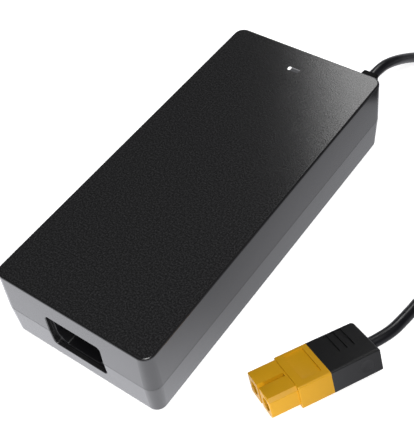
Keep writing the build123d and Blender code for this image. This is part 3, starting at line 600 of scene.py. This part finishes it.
def add_light(name, power, size, place, target, across=(1.0, 0.0, 0.0)):
    """A soft rectangular light that faces a target, its width along a direction."""
    lamp = bpy.data.lights.new(name, "AREA")
    lamp.shape = "RECTANGLE"
    lamp.energy = power
    lamp.size, lamp.size_y = size
    back = (Vector(place) - Vector(target)).normalized()
    up = back.cross(Vector(across)).normalized()
    stand(put(name, lamp), place, up.cross(back), up, back)
    return lamp


class CHARGER_OT_stage(bpy.types.Operator):
    """Make the camera, the floor and the lights."""

    bl_idname = "charger.stage"
    bl_label = "Stage"

    def execute(self, context):
        settings = context.scene.charger_stage
        context.scene.camera = self.make_camera(settings)
        self.make_floor(settings)
        context.scene.world = self.make_world()
        context.scene.view_settings.view_transform = "Standard"
        add_light("overhead", settings.fill_power, OVERHEAD_SIZE, OVERHEAD_PLACE, OVERHEAD_TARGET)
        self.make_plug_light(settings)
        self.make_sheen_light(settings)
        return {"FINISHED"}

    def backwards(self, settings):
        """The direction from the target to the camera."""
        turn, lift = settings.azimuth, settings.elevation
        return Vector((sin(turn) * cos(lift), -cos(turn) * cos(lift), sin(lift)))

    def eye(self, settings):
        """The camera's place."""
        return Vector(settings.target) + self.backwards(settings) * settings.distance

    def make_camera(self, settings):
        """The camera, turned to the viewing angle and rolled about its line of sight."""
        back = self.backwards(settings)
        right = Vector((0.0, 0.0, 1.0)).cross(back).normalized()
        up = back.cross(right)
        tilted_right = cos(settings.roll) * right + sin(settings.roll) * up
        tilted_up = -sin(settings.roll) * right + cos(settings.roll) * up
        camera = bpy.data.cameras.new("camera")
        camera.lens = settings.lens
        camera.clip_start = 0.01
        holder = put("camera", camera)
        stand(holder, self.eye(settings), tilted_right, tilted_up, back)
        return holder

    def make_sheen_light(self, settings):
        """A light that the lead's end of the top mirrors, with one edge across the top."""
        corner = case_high.copy()
        sight = (corner - self.eye(settings)).normalized()
        mirrored = Vector((sight.x, sight.y, -sight.z))
        across = Vector((cos(settings.sheen_turn), sin(settings.sheen_turn), 0.0))
        across = (across - across.dot(mirrored) * mirrored).normalized()
        target = corner + across * (settings.sheen_shift + settings.sheen_width / 2)
        place = target + mirrored * SHEEN_REACH
        size = (settings.sheen_width, SHEEN_LENGTH)
        add_light("sheen", settings.sheen_power, size, place, target, across)

    def make_plug_light(self, settings):
        """A small narrow light that brightens the sockets' end of the plug."""
        low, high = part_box("plug_housing")
        middle = (low + high) / 2
        place = middle + PLUG_LIGHT_REACH * PLUG_LIGHT_WAY
        lamp = add_light("plug_front", settings.plug_power, PLUG_LIGHT_SIZE, place, middle)
        lamp.spread = PLUG_LIGHT_SPREAD

    def make_floor(self, settings):
        """A plain white floor."""
        mesh = bpy.data.meshes.new("floor")
        shape = bmesh.new()
        bmesh.ops.create_grid(shape, x_segments=1, y_segments=1, size=settings.floor_size / 2)
        shape.to_mesh(mesh)
        shape.free()
        mesh.materials.append(self.light_table(settings))
        put("floor", mesh)

    def light_table(self, settings):
        """White to the camera, and to the charger a glow that is brightest in front of it."""
        shader = Shader(
            "floor",
            Base_Color=(0.8, 0.8, 0.8, 1.0),
            Roughness=0.9,
            Emission_Color=(1.0, 1.0, 1.0, 1.0),
        )
        away = shader.add("VectorMath", {0: shader.place()}, operation="LENGTH")
        white = shader.between(away.outputs["Value"], *SEEN_WHITE, *SEEN_REACH)
        shader.join(shader.surface, {"Emission Strength": white})
        place = shader.parts(shader.place())
        near_glow = settings.side_glow * NEAR_GLOW
        beside = shader.between(place["X"], near_glow, settings.side_glow, *BESIDE)
        sockets = {0: place["Y"], 1: IN_FRONT[0], 2: IN_FRONT[1], 3: beside, 4: settings.front_glow}
        front = shader.add("MapRange", sockets, interpolation_type="SMOOTHERSTEP").outputs[0]
        glow = shader.add("Emission", {"Color": (0.945, 0.95, 1.0, 1.0), "Strength": front})
        output = shader.tree.nodes["Material Output"]
        shader.join(output, {"Surface": shader.choose(shader.surface, glow)})
        return shader.material

    def make_world(self):
        """A dim grey surround, white where it is seen straight on."""
        world = bpy.data.worlds.new("surround")
        world.use_nodes = True
        surround = Nodes(world.node_tree)
        dim = surround.tree.nodes["Background"]
        surround.join(dim, {"Color": (0.05, 0.05, 0.052, 1.0)})
        white = surround.add("Background", {"Color": (1.0, 1.0, 1.0, 1.0)})
        output = surround.tree.nodes["World Output"]
        surround.join(output, {"Surface": surround.choose(white, dim)})
        return world


# ---- Lead ----

# All of the route's numbers are in millimetres.
LEAD_LOW = 2.52  # the lead's middle where it lies on the floor
LEAD_HIGH = 6.85  # where it lies on the turns below

ROUTE_FROM_CASE = (
    (23.6, 101.5, 20.6),
    (23.6, 110.2, 20.6),
    (25.3, 121.0, 17.3),
    (27.0, 131.5, 12.0),
    (29.3, 142.5, 5.6),
    (34.8, 153.0, LEAD_LOW),
    (44.5, 160.8, LEAD_LOW),
    (56.5, 164.8, LEAD_LOW),
    (67.0, 166.0, LEAD_LOW),
)
ROUTE_TO_PLUG = (
    (110.2, 119.0, 7.4),
    (109.8, 105.5, 5.4),
    (108.6, 89.0, 2.9),
    (105.5, 70.0, LEAD_LOW),
    (101.5, 50.0, LEAD_LOW),
    (98.2, 30.0, 2.7),
    (97.0, 13.5, 4.1),
    (96.3, -1.0, 7.0),
)
COIL_MIDDLE = (80.0, 132.0)
BEFORE_PLUG = 8.5  # the last stretch is straight, from this far outside the plug's cover
IN_PLUG = 3.0  # to this far inside it
COIL_STEPS = (  # each turn's place outside the mean radius, in lead diameters, and its level
    (1, LEAD_LOW),
    (0, LEAD_LOW),
    (-1, LEAD_LOW),
    (-0.5, LEAD_HIGH),
    (0.5, LEAD_HIGH),
)


class CHARGER_OT_lead(bpy.types.Operator):
    """Make the output lead, with its spare length in a coil."""

    bl_idname = "charger.lead"
    bl_label = "Lead"

    def execute(self, context):
        settings = context.scene.charger_lead
        route = [Vector(point) * MM for point in ROUTE_FROM_CASE]
        route += self.coil(settings)
        route += [Vector(point) * MM for point in ROUTE_TO_PLUG]
        cover_end, heading = self.plug_line()
        route += [cover_end + heading * BEFORE_PLUG * MM, cover_end - heading * IN_PLUG * MM]
        lead = self.tube("output_lead", route, settings.diameter)
        lead.data.materials.append(lead_jacket())
        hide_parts("lead_from_case", "lead_coil", "lead_to_plug")
        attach(lead, "root")
        return {"FINISHED"}

    def coil(self, settings):
        """Points round the coil: each turn steps over to the next in its last quarter."""
        points = []
        per_turn = settings.points_per_turn
        quarter = per_turn // 4
        for turn, (step, level) in enumerate(COIL_STEPS):
            next_step, next_level = COIL_STEPS[min(turn + 1, len(COIL_STEPS) - 1)]
            for n in range(per_turn):
                share = max(0.0, (n - 3 * quarter) / quarter)
                out = step + (next_step - step) * share
                lift = level + (next_level - level) * share
                points.append(self.coil_point(settings, n, out, lift))
        last_step, last_level = COIL_STEPS[-1]
        for n in range(quarter + 1):
            points.append(self.coil_point(settings, n, last_step, last_level))
        return points

    def coil_point(self, settings, n, out, lift):
        """A turn's control point, so far out that the smooth line keeps the turn's radius."""
        widen = 1 / cos(pi / settings.points_per_turn)
        radius = (settings.coil_radius + out * settings.diameter) * widen
        angle = pi / 2 - tau * n / settings.points_per_turn
        x, y = COIL_MIDDLE
        return Vector((x * MM + radius * cos(angle), y * MM + radius * sin(angle), lift * MM))

    def plug_line(self):
        """The middle of the plug's rear end, and the direction that it faces."""
        right, left = mounts["plug_socket_right"], mounts["plug_socket_left"]
        heading = -Vector(right["axis"])
        middle = (Vector(right["pos_m"]) + Vector(left["pos_m"])) / 2
        rear = max(heading.dot(v.co) for v in nodes["plug_cover"].data.vertices)
        return middle + heading * (rear - heading.dot(middle)), heading

    def tube(self, name, route, diameter):
        """A round tube along a smooth line through the route."""
        curve = bpy.data.curves.new(name, "CURVE")
        curve.dimensions = "3D"
        curve.resolution_u = 8
        curve.bevel_depth = diameter / 2
        curve.bevel_resolution = 6
        curve.use_fill_caps = True
        line = curve.splines.new("NURBS")
        line.points.add(len(route) - 1)
        for point, place in zip(line.points, route):
            point.co = (*place, 1.0)
        line.order_u = 3
        line.use_endpoint_u = True
        return put(name, curve)


# ---- Outside ----


class CHARGER_OT_case(bpy.types.Operator):
    """Finish the case shells, the window and the feet."""

    bl_idname = "charger.case"
    bl_label = "Case"

    def execute(self, context):
        settings = context.scene.charger_case
        dress(case_plastic(settings), "top_case", "bottom_case")
        dress(window_plastic(), "light_pipe")
        rubber = satin_plastic("soft_rubber", (0.02, 0.02, 0.02), 0.8, 0.3, 0.05)
        dress(rubber, "rubber_feet")
        return {"FINISHED"}


class CHARGER_OT_inlet(bpy.types.Operator):
    """Finish the mains inlet and its blades."""

    bl_idname = "charger.inlet"
    bl_label = "Mains inlet"

    def execute(self, context):
        black = satin_plastic("inlet_moulding", (0.003, 0.003, 0.004), 0.34, 0.4, 0.01, gloss=0.3)
        soften("inlet_housing", 0.15 * MM, black, "inlet_plastic")
        nickel = plated_metal("nickel_blade", (0.62, 0.6, 0.55), 0.28)
        dress(nickel, "inlet_line_blades", "inlet_earth_blade")
        return {"FINISHED"}


class CHARGER_OT_plug(bpy.types.Operator):
    """Finish the output plug and the strain relief."""

    bl_idname = "charger.plug"
    bl_label = "Plug"

    def execute(self, context):
        settings = context.scene.charger_plug
        yellow = satin_plastic("yellow_nylon", settings.yellow, 0.42, 0.5, 0.012, 0.05, 0.3)
        soften("plug_housing", 0.12 * MM, yellow, "plug_yellow")
        black = satin_plastic("black_nylon", settings.black, 0.33, 0.4, 0.015)
        dress(black, "plug_cover")
        dress(plated_metal("socket_brass", (0.78, 0.53, 0.2), 0.25), "plug_contacts")
        rubber = satin_plastic("relief_moulding", (0.003, 0.003, 0.003), 0.7, 0.4, 0.02, gloss=0.15)
        dress(rubber, "strain_relief")
        return {"FINISHED"}


# ---- Repeats made by Geometry Nodes ----


class NodeTree(Nodes):
    """A Geometry Nodes tree with named inputs."""

    def __init__(self, name):
        super().__init__(bpy.data.node_groups.new(name, "GeometryNodeTree"))
        face = self.tree.interface
        face.new_socket("Geometry", in_out="INPUT", socket_type="NodeSocketGeometry")
        face.new_socket("Geometry", in_out="OUTPUT", socket_type="NodeSocketGeometry")
        self.group_input = self.tree.nodes.new("NodeGroupInput")
        self.identifiers = {}

    def input(self, name, kind="Float"):
        """A named input, and the socket that gives its value inside the tree."""
        socket = self.tree.interface.new_socket(name, socket_type="NodeSocket" + kind)
        self.identifiers[name] = socket.identifier
        return self.group_input.outputs[name]

    def geometry(self, kind, sockets=None, **settings):
        """A geometry node's first output."""
        return self.node("GeometryNode" + kind, sockets, **settings).outputs[0]

    def vector(self, x=0.0, y=0.0, z=0.0):
        """A vector from its parts."""
        return self.add("CombineXYZ", {0: x, 1: y, 2: z}).outputs[0]

    def share(self, value, factor):
        """A fixed share of a value."""
        return self.math("MULTIPLY", value, factor)

    def lift(self, shape, height):
        """A shape moved up by a height."""
        return self.geometry("Transform", {0: shape, "Translation": self.vector(z=height)})

    def wire(self, loop, gauge):
        """A loop of round wire, just thin enough to clear the turn beside it."""
        radius = self.share(gauge, 0.49)
        section = self.geometry("CurvePrimitiveCircle", {"Resolution": 8, "Radius": radius})
        return self.geometry("CurveToMesh", {0: loop, 1: section})

    def finish(self, instances, material):
        """Make the instances real, give them a material and send them out."""
        real = self.geometry("RealizeInstances", {0: instances})
        dressed = self.geometry("SetMaterial", {0: real, "Material": material})
        self.node("NodeGroupOutput", {0: dressed})


def ring_winding_tree():
    """Turns of wire round a stretch of a flat ring core."""
    tree = NodeTree("ring_winding")
    inner, outer = tree.input("Inner Radius"), tree.input("Outer Radius")
    height, gauge = tree.input("Height"), tree.input("Wire Diameter")
    turns, start = tree.input("Turns", "Int"), tree.input("Start")
    sweep, middle = tree.input("Sweep"), tree.input("Middle", "Vector")
    wobble, seed = tree.input("Wobble"), tree.input("Seed", "Int")
    material = tree.input("Material", "Material")
    width = tree.math("ADD", tree.math("SUBTRACT", outer, inner), gauge)
    tall = tree.math("ADD", height, gauge)
    loop = tree.geometry("CurvePrimitiveQuadrilateral", {"Width": width, "Height": tall})
    corner = tree.share(gauge, 0.7)
    loop = tree.geometry("FilletCurve", {"Curve": loop, "Radius": corner, "Count": 3}, mode="POLY")
    centre = tree.share(tree.math("ADD", inner, outer), 0.5)
    sockets = {0: loop, "Translation": tree.vector(x=centre), "Rotation": (pi / 2, 0, 0)}
    loop = tree.geometry("Transform", sockets)
    points = tree.geometry("Points", {"Count": turns})
    index = tree.geometry("InputIndex")
    share = tree.math("DIVIDE", tree.math("ADD", index, 0.5), turns)
    angle = tree.math("MULTIPLY_ADD", share, sweep, start)
    sockets = {2: tree.share(wobble, -1.0), 3: wobble, "ID": index, "Seed": seed}
    lean = tree.node("FunctionNodeRandomValue", sockets, data_type="FLOAT").outputs[1]
    turn = tree.vector(x=lean, z=angle)
    sockets = {"Points": points, "Instance": tree.wire(loop, gauge), "Rotation": turn}
    rings = tree.geometry("InstanceOnPoints", sockets)
    tree.finish(tree.geometry("Transform", {0: rings, "Translation": middle}), material)
    return tree


def stacked_winding_tree():
    """Turns of wire one above the other round an upright former."""
    tree = NodeTree("stacked_winding")
    radius, gauge = tree.input("Radius"), tree.input("Wire Diameter")
    turns, lowest = tree.input("Turns", "Int"), tree.input("Lowest Turn", "Vector")
    material = tree.input("Material", "Material")
    loop = tree.geometry("CurvePrimitiveCircle", {"Resolution": 64, "Radius": radius})
    rise = tree.vector(z=gauge)
    levels = tree.geometry("MeshLine", {"Count": turns, "Start Location": lowest, "Offset": rise})
    sockets = {"Points": levels, "Instance": tree.wire(loop, gauge)}
    tree.finish(tree.geometry("InstanceOnPoints", sockets), material)
    return tree


def screw_tree():
    """Pan-head screws with a cross recess, one at each point, each facing its own way."""
    tree = NodeTree("screws")
    head, tall = tree.input("Head Radius"), tree.input("Head Height")
    shank, length = tree.input("Shank Radius"), tree.input("Shank Length")
    material = tree.input("Material", "Material")
    rim_height = tree.share(tall, 0.55)
    sockets = {"Vertices": 32, "Radius": head, "Depth": rim_height}
    rim = tree.lift(tree.geometry("MeshCylinder", sockets), tree.share(rim_height, 0.5))
    sockets = {
        "Vertices": 32,
        "Radius Top": tree.share(head, 0.7),
        "Radius Bottom": head,
        "Depth": tree.share(tall, 0.45),
    }
    dome = tree.lift(tree.geometry("MeshCone", sockets), rim_height)
    sockets = {"Vertices": 24, "Radius": shank, "Depth": length}
    stem = tree.lift(tree.geometry("MeshCylinder", sockets), tree.share(length, -0.499))
    whole = tree.node("GeometryNodeMeshBoolean", operation="UNION", solver="EXACT")
    for part in (rim, dome, stem):
        tree.join(whole, {1: part})
    recess = tree.node("GeometryNodeMeshBoolean", operation="DIFFERENCE", solver="EXACT")
    tree.join(recess, {0: whole.outputs[0]})
    narrow, deep = tree.share(head, 0.22), tree.share(tall, 1.2)
    for x, y in ((head, narrow), (narrow, head)):
        bar = tree.lift(tree.geometry("MeshCube", {"Size": tree.vector(x, y, deep)}), tall)
        tree.join(recess, {1: bar})
    facing = tree.geometry("InputNamedAttribute", {0: "facing"}, data_type="FLOAT_VECTOR")
    turning = tree.node("FunctionNodeAlignRotationToVector", {"Vector": facing}, axis="Z")
    points = tree.group_input.outputs["Geometry"]
    sockets = {
        "Points": points,
        "Instance": recess.outputs[0],
        "Rotation": turning.outputs[0],
    }
    tree.finish(tree.geometry("InstanceOnPoints", sockets), material)
    return tree


def smooth_over(mesh, angle):
    """Round shading everywhere but over edges that turn by more than an angle."""
    mesh.shade_smooth()
    mesh.set_sharp_from_angle(angle=angle)


def grow(name, tree, values, points=(), facings=()):
    """Run a tree on a new object and give back its plain mesh as an object."""
    mesh = bpy.data.meshes.new(name)
    mesh.from_pydata([tuple(point) for point in points], [], [])
    if facings:
        facing = mesh.attributes.new("facing", "FLOAT_VECTOR", "POINT")
        for item, value in zip(facing.data, facings):
            item.vector = value
    seedling = put(name + "_source", mesh)
    modifier = seedling.modifiers.new("nodes", "NODES")
    modifier.node_group = tree.tree
    for field, value in values.items():
        modifier[tree.identifiers[field]] = value
    graph = bpy.context.evaluated_depsgraph_get()
    plain = bpy.data.meshes.new_from_object(seedling.evaluated_get(graph))
    seedling.modifiers.clear()
    bpy.data.objects.remove(seedling)
    plain.name = name
    material = next(material for material in plain.materials if material)
    plain.materials.clear()
    plain.materials.append(material)
    plain.polygons.foreach_set("material_index", [0] * len(plain.polygons))
    smooth_over(plain, SHARP)
    return put(name, plain)


def settle(piece, slot, *replaced):
    """Let a finished piece stand for CAD nodes and ride with the charger."""
    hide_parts(*replaced)
    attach(piece, "root")


def merged(name):
    """A CAD node's triangles, joined where their corners meet."""
    shape = bmesh.new()
    shape.from_mesh(nodes[name].data)
    bmesh.ops.remove_doubles(shape, verts=shape.verts, dist=WELD)
    return shape


def islands(name):
    """The lowest and highest corner of each separate solid of a CAD node."""
    shape = merged(name)
    left = dict.fromkeys(shape.verts)  # in order, so that each run gives the same row
    boxes = []
    while left:
        reached = [left.popitem()[0]]
        places = []
        while reached:
            vertex = reached.pop()
            places.append(vertex.co.copy())
            for edge in vertex.link_edges:
                other = edge.other_vert(vertex)
                if other in left:
                    del left[other]
                    reached.append(other)
        low = Vector(min(p[k] for p in places) for k in range(3))
        high = Vector(max(p[k] for p in places) for k in range(3))
        boxes.append((low, high))
    shape.free()
    return boxes


def put_in_order(row, key):
    """Sort points or faces, which a bevel leaves in another order in each run."""
    rank = {item: n for n, item in enumerate(sorted(row, key=key))}
    row.sort(key=rank.get)
    row.index_update()


def soften(name, width, material, slot):
    """Replace a CAD node with a copy whose sharp edges are narrowly rounded."""
    shape = merged(name)
    bmesh.ops.dissolve_limit(shape, angle_limit=LEVEL, verts=shape.verts, edges=shape.edges)
    sharp = [edge for edge in shape.edges if edge.calc_face_angle(0.0) > SHARP]
    bmesh.ops.bevel(
        shape,
        geom=sharp,
        offset=width,
        offset_type="OFFSET",
        segments=2,
        profile=0.5,
        affect="EDGES",
        clamp_overlap=True,
    )
    bmesh.ops.triangulate(shape, faces=[face for face in shape.faces if len(face.verts) > 4])
    put_in_order(shape.verts, lambda vertex: tuple(vertex.co))
    put_in_order(shape.faces, lambda face: sorted(vertex.index for vertex in face.verts))
    mesh = bpy.data.meshes.new(name + "_softened")
    shape.to_mesh(mesh)
    shape.free()
    smooth_over(mesh, FLAT)
    mesh.materials.append(material)
    settle(put(name + "_softened", mesh), slot, name)


# ---- Inside ----


class CHARGER_OT_screws(bpy.types.Operator):
    """Make the cross-recess screws of the case, the board and the heatsinks."""

    bl_idname = "charger.screws"
    bl_label = "Screws"

    def execute(self, context):
        tree = screw_tree()
        steel = plated_metal("zinc_plate", (0.56, 0.57, 0.6), 0.3)
        sizes = {  # head radius, head height and shank radius in millimetres, axis, way of heads
            "case_screws": (2.79, 2.0, 1.4, 2, -1),
            "board_screws": (2.19, 1.6, 1.2, 2, 1),
            "heatsink_screws": (2.69, 1.8, 1.4, 0, None),
        }
        for name, (head, tall, shank, axis, way) in sizes.items():
            points, facings, lengths = [], [], []
            for low, high in islands(name):
                middle = (low + high) / 2
                side = way or (-1 if middle.x > 0 else 1)
                facing = Vector((0.0, 0.0, 0.0))
                facing[axis] = side
                end = high if side > 0 else low
                middle[axis] = end[axis] - side * tall * MM
                points.append(middle)
                facings.append(facing)
                lengths.append(high[axis] - low[axis] - tall * MM)
            values = {
                "Head Radius": head * MM,
                "Head Height": tall * MM,
                "Shank Radius": shank * MM,
                "Shank Length": min(lengths),
                "Material": steel,
            }
            screws = grow(name + "_cross_recess", tree, values, points, facings)
            settle(screws, "steel", name)
        return {"FINISHED"}


class CHARGER_OT_windings(bpy.types.Operator):
    """Wind the chokes, the boost inductor and the transformer."""

    bl_idname = "charger.windings"
    bl_label = "Windings"

    def execute(self, context):
        settings = context.scene.charger_windings
        copper = enamelled_wire()
        tree = ring_winding_tree()
        rings = {  # core, inner radius, wire in millimetres, turns, starts, sweep in degrees
            "choke_winding": ("choke_core", 5.0, 1.15, 9, (20, 200), 140),
            "boost_inductor_winding": ("boost_inductor_core", 7.0, 1.7, 18, (30,), 300),
            "output_choke_winding": ("output_choke_core", 4.0, 1.35, 12, (30,), 300),
        }
        for name, (core, inner, gauge, turns, starts, sweep) in rings.items():
            low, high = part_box(core)
            stretches = []
            for n, start in enumerate(starts):
                values = {
                    "Inner Radius": inner * MM,
                    "Outer Radius": (high.x - low.x) / 2,
                    "Height": high.z - low.z,
                    "Wire Diameter": gauge * MM,
                    "Turns": turns,
                    "Start": radians(start),
                    "Sweep": radians(sweep),
                    "Middle": (low + high) / 2,
                    "Wobble": settings.wobble,
                    "Seed": settings.seed + n,
                    "Material": copper,
                }
                stretches.append(grow(f"{name}_turns_{n + 1}", tree, values))
            for stretch in stretches:
                settle(stretch, "copper", name)
        low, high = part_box("transformer_winding")
        gauge = (high.z - low.z) / settings.layer_turns
        values = {
            "Radius": (high.x - low.x) / 2 - gauge / 2,
            "Wire Diameter": gauge,
            "Turns": settings.layer_turns,
            "Lowest Turn": ((low.x + high.x) / 2, (low.y + high.y) / 2, low.z + gauge / 2),
            "Material": copper,
        }
        layer = grow("transformer_turns", stacked_winding_tree(), values)
        settle(layer, "copper", "transformer_winding")
        dress(coated_ring("green_ring", (0.06, 0.2, 0.09), 0.4), "choke_core")
        grey_ring = coated_ring("grey_ring", (0.2, 0.21, 0.17), 0.5)
        dress(grey_ring, "boost_inductor_core", "output_choke_core")
        dress(bare_ferrite(), "transformer_core")
        former = satin_plastic("former_plastic", (0.02, 0.02, 0.02), 0.5, 0.4, 0.02)
        dress(former, "choke_base", "transformer_base", "transformer_bobbin")
        return {"FINISHED"}


class CHARGER_OT_board(bpy.types.Operator):
    """Finish the boards and the parts on them."""

    bl_idname = "charger.board"
    bl_label = "Board"

    def execute(self, context):
        dress(solder_resist("main_board", 3.2 * MM, "Z"), "circuit_board")
        dress(solder_resist("small_board", 1.4 * MM, "X"), "control_board")
        film = satin_plastic("milky_film", (0.6, 0.6, 0.55), 0.35, 2.0, 0.03)
        dress(film, "insulation_sheet")
        dress(clear_body("clear_glass", (0.95, 0.98, 0.97), 0.95), "fuse_tube")
        nickel = plated_metal("nickel_cap", (0.6, 0.58, 0.54), 0.25)
        dress(nickel, "fuse_caps", "shunt_resistor")
        dress(plated_metal("tinned_brass", (0.66, 0.56, 0.36), 0.32), "fuse_clips")
        dress(coated_ring("green_coat", (0.03, 0.06, 0.035), 0.45), "inrush_thermistor")
        blue = coated_ring("blue_coat", (0.02, 0.09, 0.3), 0.32)
        dress(blue, "varistor", "y_capacitors")
        yellow = satin_plastic("yellow_box", (0.6, 0.42, 0.05), 0.38, 0.8, 0.015)
        dress(yellow, "x_capacitor")
        epoxy = satin_plastic("package_epoxy", (0.016, 0.016, 0.017), 0.55, 0.2, 0.02)
        dress(epoxy, "bridge_rectifier", "switch_transistors", "output_rectifiers")
        dress(epoxy, "optocouplers", "charge_controller")
        black = satin_plastic("header_plastic", (0.02, 0.02, 0.02), 0.45, 0.3, 0.02)
        dress(black, "control_header", "light_holder")
        blue_black = (0.02, 0.025, 0.07, 1.0)
        dress(shrunk_sleeve("large_sleeve", blue_black, ("X", 0.93), "Y"), "bulk_capacitor")
        dress(shrunk_sleeve("small_sleeve", blue_black, ("Y", 0.85), "Z"), "output_capacitors")
        dress(brushed_aluminium(), "primary_heatsink", "secondary_heatsink", "heat_spreader")
        silicone = satin_plastic("grey_silicone", (0.2, 0.23, 0.27), 0.8, 0.5, 0.05)
        dress(silicone, "thermal_pads")
        dress(clear_body("red_epoxy", (0.75, 0.06, 0.04), 0.6), "charging_light")
        dress(clear_body("green_epoxy", (0.06, 0.6, 0.12), 0.6), "charged_light")
        return {"FINISHED"}


class CHARGER_OT_wires(bpy.types.Operator):
    """Colour the wires inside the case and the plug."""

    bl_idname = "charger.wires"
    bl_label = "Wires"

    def execute(self, context):
        yellow = (0.6, 0.5, 0.03, 1.0)
        dress(insulated_wire("brown_sleeve", (0.12, 0.05, 0.02)), "live_wire")
        dress(insulated_wire("blue_sleeve", (0.02, 0.1, 0.38)), "neutral_wire")
        dress(insulated_wire("striped_sleeve", (0.06, 0.26, 0.05), yellow), "earth_wire")
        red = insulated_wire("red_sleeve", (0.45, 0.02, 0.015))
        dress(red, "output_wire_positive", "plug_wires")
        dress(insulated_wire("black_sleeve", (0.015, 0.015, 0.015)), "output_wire_negative")
        return {"FINISHED"}


# ---- Panel and registration ----

STEPS = (  # in the order in which they run
    CHARGER_OT_stage,
    CHARGER_OT_plug,
    CHARGER_OT_lead,
    CHARGER_OT_case,
    CHARGER_OT_inlet,
    CHARGER_OT_screws,
    CHARGER_OT_windings,
    CHARGER_OT_board,
    CHARGER_OT_wires,
)


class CHARGER_PT_panel(bpy.types.Panel):
    """Lists the charger's settings and the steps that build it."""

    bl_idname = "CHARGER_PT_panel"
    bl_label = "Battery Charger"
    bl_space_type = "VIEW_3D"
    bl_region_type = "UI"
    bl_category = "Charger"

    def draw(self, context):
        for name in SETTINGS:
            group = getattr(context.scene, name)
            box = self.layout.box()
            for field in group.__annotations__:
                box.prop(group, field)
        for step in STEPS:
            self.layout.operator(step.bl_idname)


SETTINGS = {
    "charger_stage": ChargerStageSettings,
    "charger_lead": ChargerLeadSettings,
    "charger_case": ChargerCaseSettings,
    "charger_plug": ChargerPlugSettings,
    "charger_windings": ChargerWindingSettings,
}


def register():
    """Register the classes and hang the settings on the scene."""
    for kind in (*SETTINGS.values(), *STEPS, CHARGER_PT_panel):
        bpy.utils.register_class(kind)
    for name, kind in SETTINGS.items():
        setattr(bpy.types.Scene, name, PointerProperty(type=kind))


def unregister():
    """Take the settings and the classes away again."""
    for name in SETTINGS:
        delattr(bpy.types.Scene, name)
    for kind in reversed((*SETTINGS.values(), *STEPS, CHARGER_PT_panel)):
        bpy.utils.unregister_class(kind)


def main():
    """Build the whole charger."""
    register()
    bpy.ops.charger.stage()
    bpy.ops.charger.plug()
    bpy.ops.charger.lead()
    bpy.ops.charger.case()
    bpy.ops.charger.inlet()
    bpy.ops.charger.screws()
    bpy.ops.charger.windings()
    bpy.ops.charger.board()
    bpy.ops.charger.wires()


if __name__ == "__main__":
    main()
